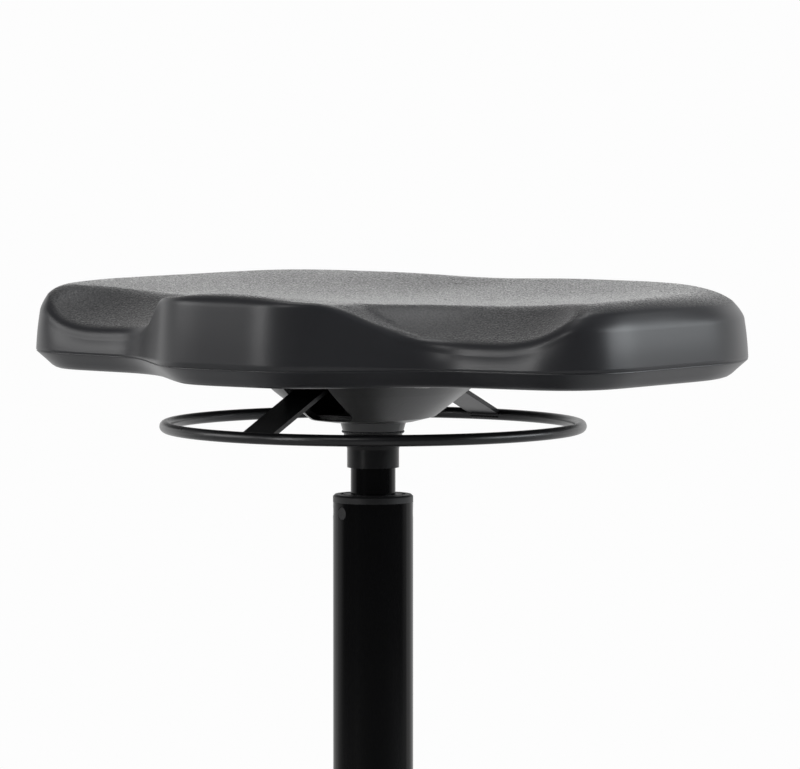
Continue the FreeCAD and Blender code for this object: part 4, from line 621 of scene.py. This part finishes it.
# %% Assign the finishes
FINISHES = {
    gloss_black: ("stand_tube", "pressure_tube"),
    powder_black: ("release_ring", "release_bar"),
    satin_black: ("taper_socket", "mount_plate", "base_socket"),
    bush_grey: ("guide_bush", "ball_cage"),
    shell_black: ("base_shell", "column_collar"),
    tread_black: ("base_tread",),
    seal_black: ("bumper", "piston_seal", "rod_seal", "valve_orings"),
    zinc: ("seat_screws", "seat_washers", "tee_nuts", "shell_screws", "socket_bolts",
           "tube_bottom_plate", "cylinder_liner", "piston_nut"),
    ground_steel: ("lower_race", "upper_race", "bearing_balls", "rod_clip", "valve_pin"),
    hard_chrome: ("piston_rod",),
    turned_alloy: ("piston", "rod_guide", "valve_body"),
    cast_grey: ("base_weight",),
    hub_grey: ("hub_bowl",),
    plywood: ("seat_board",),
}
dressed = set()
for material, names in FINISHES.items():
    for name in names:
        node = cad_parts[name]
        node.data.materials.clear()
        node.data.materials.append(material)
        dressed.add(name)
missing = sorted(set(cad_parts) - dressed - {"seat_pad"})
print("finishes: %d nodes dressed, missing %s" % (len(dressed), missing))

seat.data.materials.append(seat_skin)
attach(seat, "carriage")
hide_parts("seat_pad")

# %% [markdown]
# ## Welds
# The hub is welded to the socket under it, and the bar to the ring at both ends. A hand weld
# is a row of overlapping ripples, each a little different, laid along a seam. That is a thing
# that repeats along a path, so Geometry Nodes makes it: the seam is a curve, its points carry
# balls of uneven size, and the result is kept as a plain mesh.

# %% Weld beads along a seam
weld_black = finish("weld_black", (0.006, 0.006, 0.0064), 0.38, specular=0.45, grain=900,
                    depth=0.3)


def bead_nodes():
    """Node group that lays ripples along a curve."""
    group = bpy.data.node_groups.new("weld_ripples", "GeometryNodeTree")
    face = group.interface
    face.new_socket("Geometry", in_out="INPUT", socket_type="NodeSocketGeometry")
    for name, value in (("Spacing", 0.001), ("Ripple size", 0.001), ("Unevenness", 0.25)):
        number = face.new_socket(name, in_out="INPUT", socket_type="NodeSocketFloat")
        number.default_value = value
    face.new_socket("Seed", in_out="INPUT", socket_type="NodeSocketInt").default_value = 4
    face.new_socket("Geometry", in_out="OUTPUT", socket_type="NodeSocketGeometry")
    new = group.nodes.new
    link = group.links.new
    given = new("NodeGroupInput")
    steps = new("GeometryNodeResampleCurve")
    steps.mode = "LENGTH"
    link(given.outputs["Geometry"], steps.inputs["Curve"])
    link(given.outputs["Spacing"], steps.inputs["Length"])
    ball = new("GeometryNodeMeshUVSphere")
    ball.inputs["Segments"].default_value = 10
    ball.inputs["Rings"].default_value = 7
    link(given.outputs["Ripple size"], ball.inputs["Radius"])
    vary = new("FunctionNodeRandomValue")
    vary.data_type = "FLOAT"
    less = new("ShaderNodeMath")
    less.operation = "SUBTRACT"
    less.inputs[0].default_value = 1.0
    link(given.outputs["Unevenness"], less.inputs[1])
    link(less.outputs["Value"], vary.inputs[2])
    vary.inputs[3].default_value = 1.0
    link(given.outputs["Seed"], vary.inputs["Seed"])
    lay = new("GeometryNodeInstanceOnPoints")
    link(steps.outputs["Curve"], lay.inputs["Points"])
    link(ball.outputs["Mesh"], lay.inputs["Instance"])
    link(vary.outputs[1], lay.inputs["Scale"])
    plain = new("GeometryNodeRealizeInstances")
    link(lay.outputs["Instances"], plain.inputs["Geometry"])
    paint = new("GeometryNodeSetMaterial")
    paint.inputs["Material"].default_value = weld_black
    link(plain.outputs["Geometry"], paint.inputs["Geometry"])
    smooth = new("GeometryNodeSetShadeSmooth")
    link(paint.outputs["Geometry"], smooth.inputs["Geometry"])
    out = new("NodeGroupOutput")
    link(smooth.outputs["Geometry"], out.inputs["Geometry"])
    return group


ripples = bead_nodes()


def weld(name, body, seams, size, closed=False):
    """One weld piece from seams given as lists of points in millimetres."""
    curve = bpy.data.curves.new(name + "_seam", "CURVE")
    curve.dimensions = "3D"
    for points in seams:
        spline = curve.splines.new("POLY")
        spline.points.add(len(points) - 1)
        for spot, point in zip(spline.points, points):
            spot.co = (*(c * MM for c in point), 1)
        spline.use_cyclic_u = closed
    seam = bpy.data.objects.new(name + "_seam", curve)
    bpy.context.scene.collection.objects.link(seam)
    laying = seam.modifiers.new("ripples", "NODES")
    laying.node_group = ripples
    sockets = {item.name: item.identifier for item in ripples.interface.items_tree
               if item.in_out == "INPUT"}
    laying[sockets["Spacing"]] = size * 0.9 * MM
    laying[sockets["Ripple size"]] = size * MM
    laying[sockets["Unevenness"]] = 0.3
    laying[sockets["Seed"]] = 7
    ready = seam.evaluated_get(bpy.context.evaluated_depsgraph_get())
    mesh = bpy.data.meshes.new_from_object(ready)
    mesh.name = name
    bpy.data.objects.remove(seam)
    piece = bpy.data.objects.new(name, mesh)
    bpy.context.scene.collection.objects.link(piece)
    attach(piece, body)
    print("%s: %d faces" % (name, len(mesh.polygons)))
    return piece


def arc(radius, first, last, height, count=40):
    """Points on a level arc round the column's axis, angles in degrees."""
    turns = np.radians(np.linspace(first, last, count))
    return [(radius * math.cos(t), radius * math.sin(t), height) for t in turns]


SOCKET_SEAM_R, SOCKET_SEAM_DROP = 18.75, 3.4
BAR_SEAM_INSET, BAR_END_INSET = 3.4, 1.2
BAR_SEAM_RISES = (2.6, -1.6)
collar_weld = weld("collar_weld", "carriage",
                   [arc(SOCKET_SEAM_R, 0, 357, RING_Z - SOCKET_SEAM_DROP, 120)], 0.85,
                   closed=True)
bar_low, bar_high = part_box("release_bar")
bar_half = bar_high[0] / MM - BAR_END_INSET
spread = math.degrees(bar_half / RING_R)
bar_welds = weld("bar_welds", "ring", [
    arc(RING_R - BAR_SEAM_INSET, side - spread, side + spread, RING_Z + rise, 24)
    for side in (90, 270) for rise in BAR_SEAM_RISES], 0.8)

# %% [markdown]
# ## Studio
# The stool stands on a plain pale floor that runs out of sight and turns white with the
# distance, as the sky behind it does. One soft light hangs over the seat, one stands on
# each side for the long soft lines on the walls, and a narrow one and a small one in front
# draw the streaks on the left lobe and the horn.

# %% Floor, sky and lights
floor_mesh = bpy.data.meshes.new("floor")
shape = bmesh.new()
bmesh.ops.create_circle(shape, cap_ends=True, segments=96, radius=80.0)
shape.to_mesh(floor_mesh)
shape.free()
floor = bpy.data.objects.new("floor", floor_mesh)
bpy.context.scene.collection.objects.link(floor)
VIEW_TURN = 34.0  # degrees from the horn to the camera
round_angle = math.radians(VIEW_TURN)
AWAY = (-math.sin(round_angle), math.cos(round_angle), 0.0)
RIGHT = (math.cos(round_angle), math.sin(round_angle), 0.0)


def ramp_nodes(tree, value, low, high):
    """Smooth step as a node."""
    node = tree.nodes.new("ShaderNodeMapRange")
    node.interpolation_type = "SMOOTHSTEP"
    node.inputs["From Min"].default_value = low
    node.inputs["From Max"].default_value = high
    tree.links.new(value, node.inputs["Value"])
    return node.outputs["Result"]


def along_away(tree, vector):
    """How far a direction or a place lies away from the camera."""
    node = tree.nodes.new("ShaderNodeVectorMath")
    node.operation = "DOT_PRODUCT"
    node.inputs[1].default_value = AWAY
    tree.links.new(vector, node.inputs[0])
    return node.outputs["Value"]


floor_paint, tree, floor_shader, place = new_material("floor_paint")
floor_shader.inputs["Base Color"].default_value = (0.6, 0.6, 0.6, 1)
floor_shader.inputs["Roughness"].default_value = 0.8
floor_shader.inputs["Specular IOR Level"].default_value = 0.1
glow = tree.nodes.new("ShaderNodeEmission")
glow.inputs["Strength"].default_value = 0.982
swap = tree.nodes.new("ShaderNodeMixShader")
far = ramp_nodes(tree, along_away(tree, place.outputs["Object"]), -0.1, 1.7)
tree.links.new(far, swap.inputs["Fac"])
tree.links.new(floor_shader.outputs["BSDF"], swap.inputs[1])
tree.links.new(glow.outputs["Emission"], swap.inputs[2])
tree.links.new(swap.outputs["Shader"], tree.nodes["Material Output"].inputs["Surface"])
floor.data.materials.append(floor_paint)

world = bpy.data.worlds.new("studio")
bpy.context.scene.world = world
world.use_nodes = True
sky = world.node_tree
background = sky.nodes["Background"]
direction = sky.nodes.new("ShaderNodeTexCoord")
split = sky.nodes.new("ShaderNodeSeparateXYZ")
sky.links.new(direction.outputs["Generated"], split.inputs["Vector"])
behind = ramp_nodes(sky, along_away(sky, direction.outputs["Generated"]), 0.25, 0.85)
low = ramp_nodes(sky, split.outputs["Z"], 0.62, 0.28)
sweep = sky.nodes.new("ShaderNodeMath")
sweep.operation = "MULTIPLY"
sky.links.new(behind, sweep.inputs[0])
sky.links.new(low, sweep.inputs[1])
shade = sky.nodes.new("ShaderNodeMix")
shade.data_type = "RGBA"
shade.inputs["A"].default_value = (0.13, 0.13, 0.14, 1)
shade.inputs["B"].default_value = (1.0, 1.0, 1.0, 1)
sky.links.new(sweep.outputs["Value"], shade.inputs["Factor"])
sky.links.new(shade.outputs["Result"], background.inputs["Color"])


SEAT_HEIGHT = 0.55


def softbox(name, turn, distance, height, width, tall, watts, tint=(1, 1, 1)):
    """Soft light at an angle to the right of the camera, aimed at the seat."""
    towards = -Vector(AWAY) * math.cos(math.radians(turn)) + Vector(RIGHT) * math.sin(
        math.radians(turn))
    light = bpy.data.lights.new(name, "AREA")
    light.shape = "RECTANGLE"
    light.size = width
    light.size_y = tall
    light.energy = watts
    light.color = tint
    lamp = bpy.data.objects.new(name, light)
    bpy.context.scene.collection.objects.link(lamp)
    lamp.location = towards * distance + Vector((0, 0, height))
    aim = Vector((0, 0, SEAT_HEIGHT)) - lamp.location
    lamp.rotation_euler = aim.to_track_quat("-Z", "Y").to_euler()
    return lamp


softbox("over", 90, 0.3, 3.2, 1.2, 1.2, 26)
softbox("right_window", 84, 3.2, 1.45, 2.6, 1.3, 70, (0.93, 0.97, 1.0))
softbox("left_window", -88, 3.2, 1.45, 2.0, 1.3, 28)
softbox("left_strip", -47, 3.2, 1.35, 0.4, 1.6, 24)
softbox("front_fill", -20, 3.4, 2.9, 0.8, 0.4, 14)

# %% [markdown]
# ## Camera
# The photograph was taken from far away with a long lens, 34 degrees round from the horn
# and a little above the seat. The lens and the two small angles below put the column's
# axis and the ring where the photograph has them.

# %% Camera
DISTANCE, HEIGHT = 6.0, 0.9309
LOOK_DOWN, LOOK_ASIDE = 3.815, 0.16
camera_data = bpy.data.cameras.new("camera")
camera = bpy.data.objects.new("camera", camera_data)
bpy.context.scene.collection.objects.link(camera)
bpy.context.scene.camera = camera
camera_data.lens = 434.7
camera_data.sensor_width = 36.0
camera_data.clip_end = 200.0
camera.location = (
    DISTANCE * math.sin(round_angle), -DISTANCE * math.cos(round_angle), HEIGHT)
pitch = math.radians(90 - LOOK_DOWN)
heading = round_angle - math.radians(LOOK_ASIDE)
camera.rotation_euler = (pitch, 0, heading)
bpy.context.scene.view_settings.view_transform = "Standard"
bpy.context.scene.view_settings.look = "None"
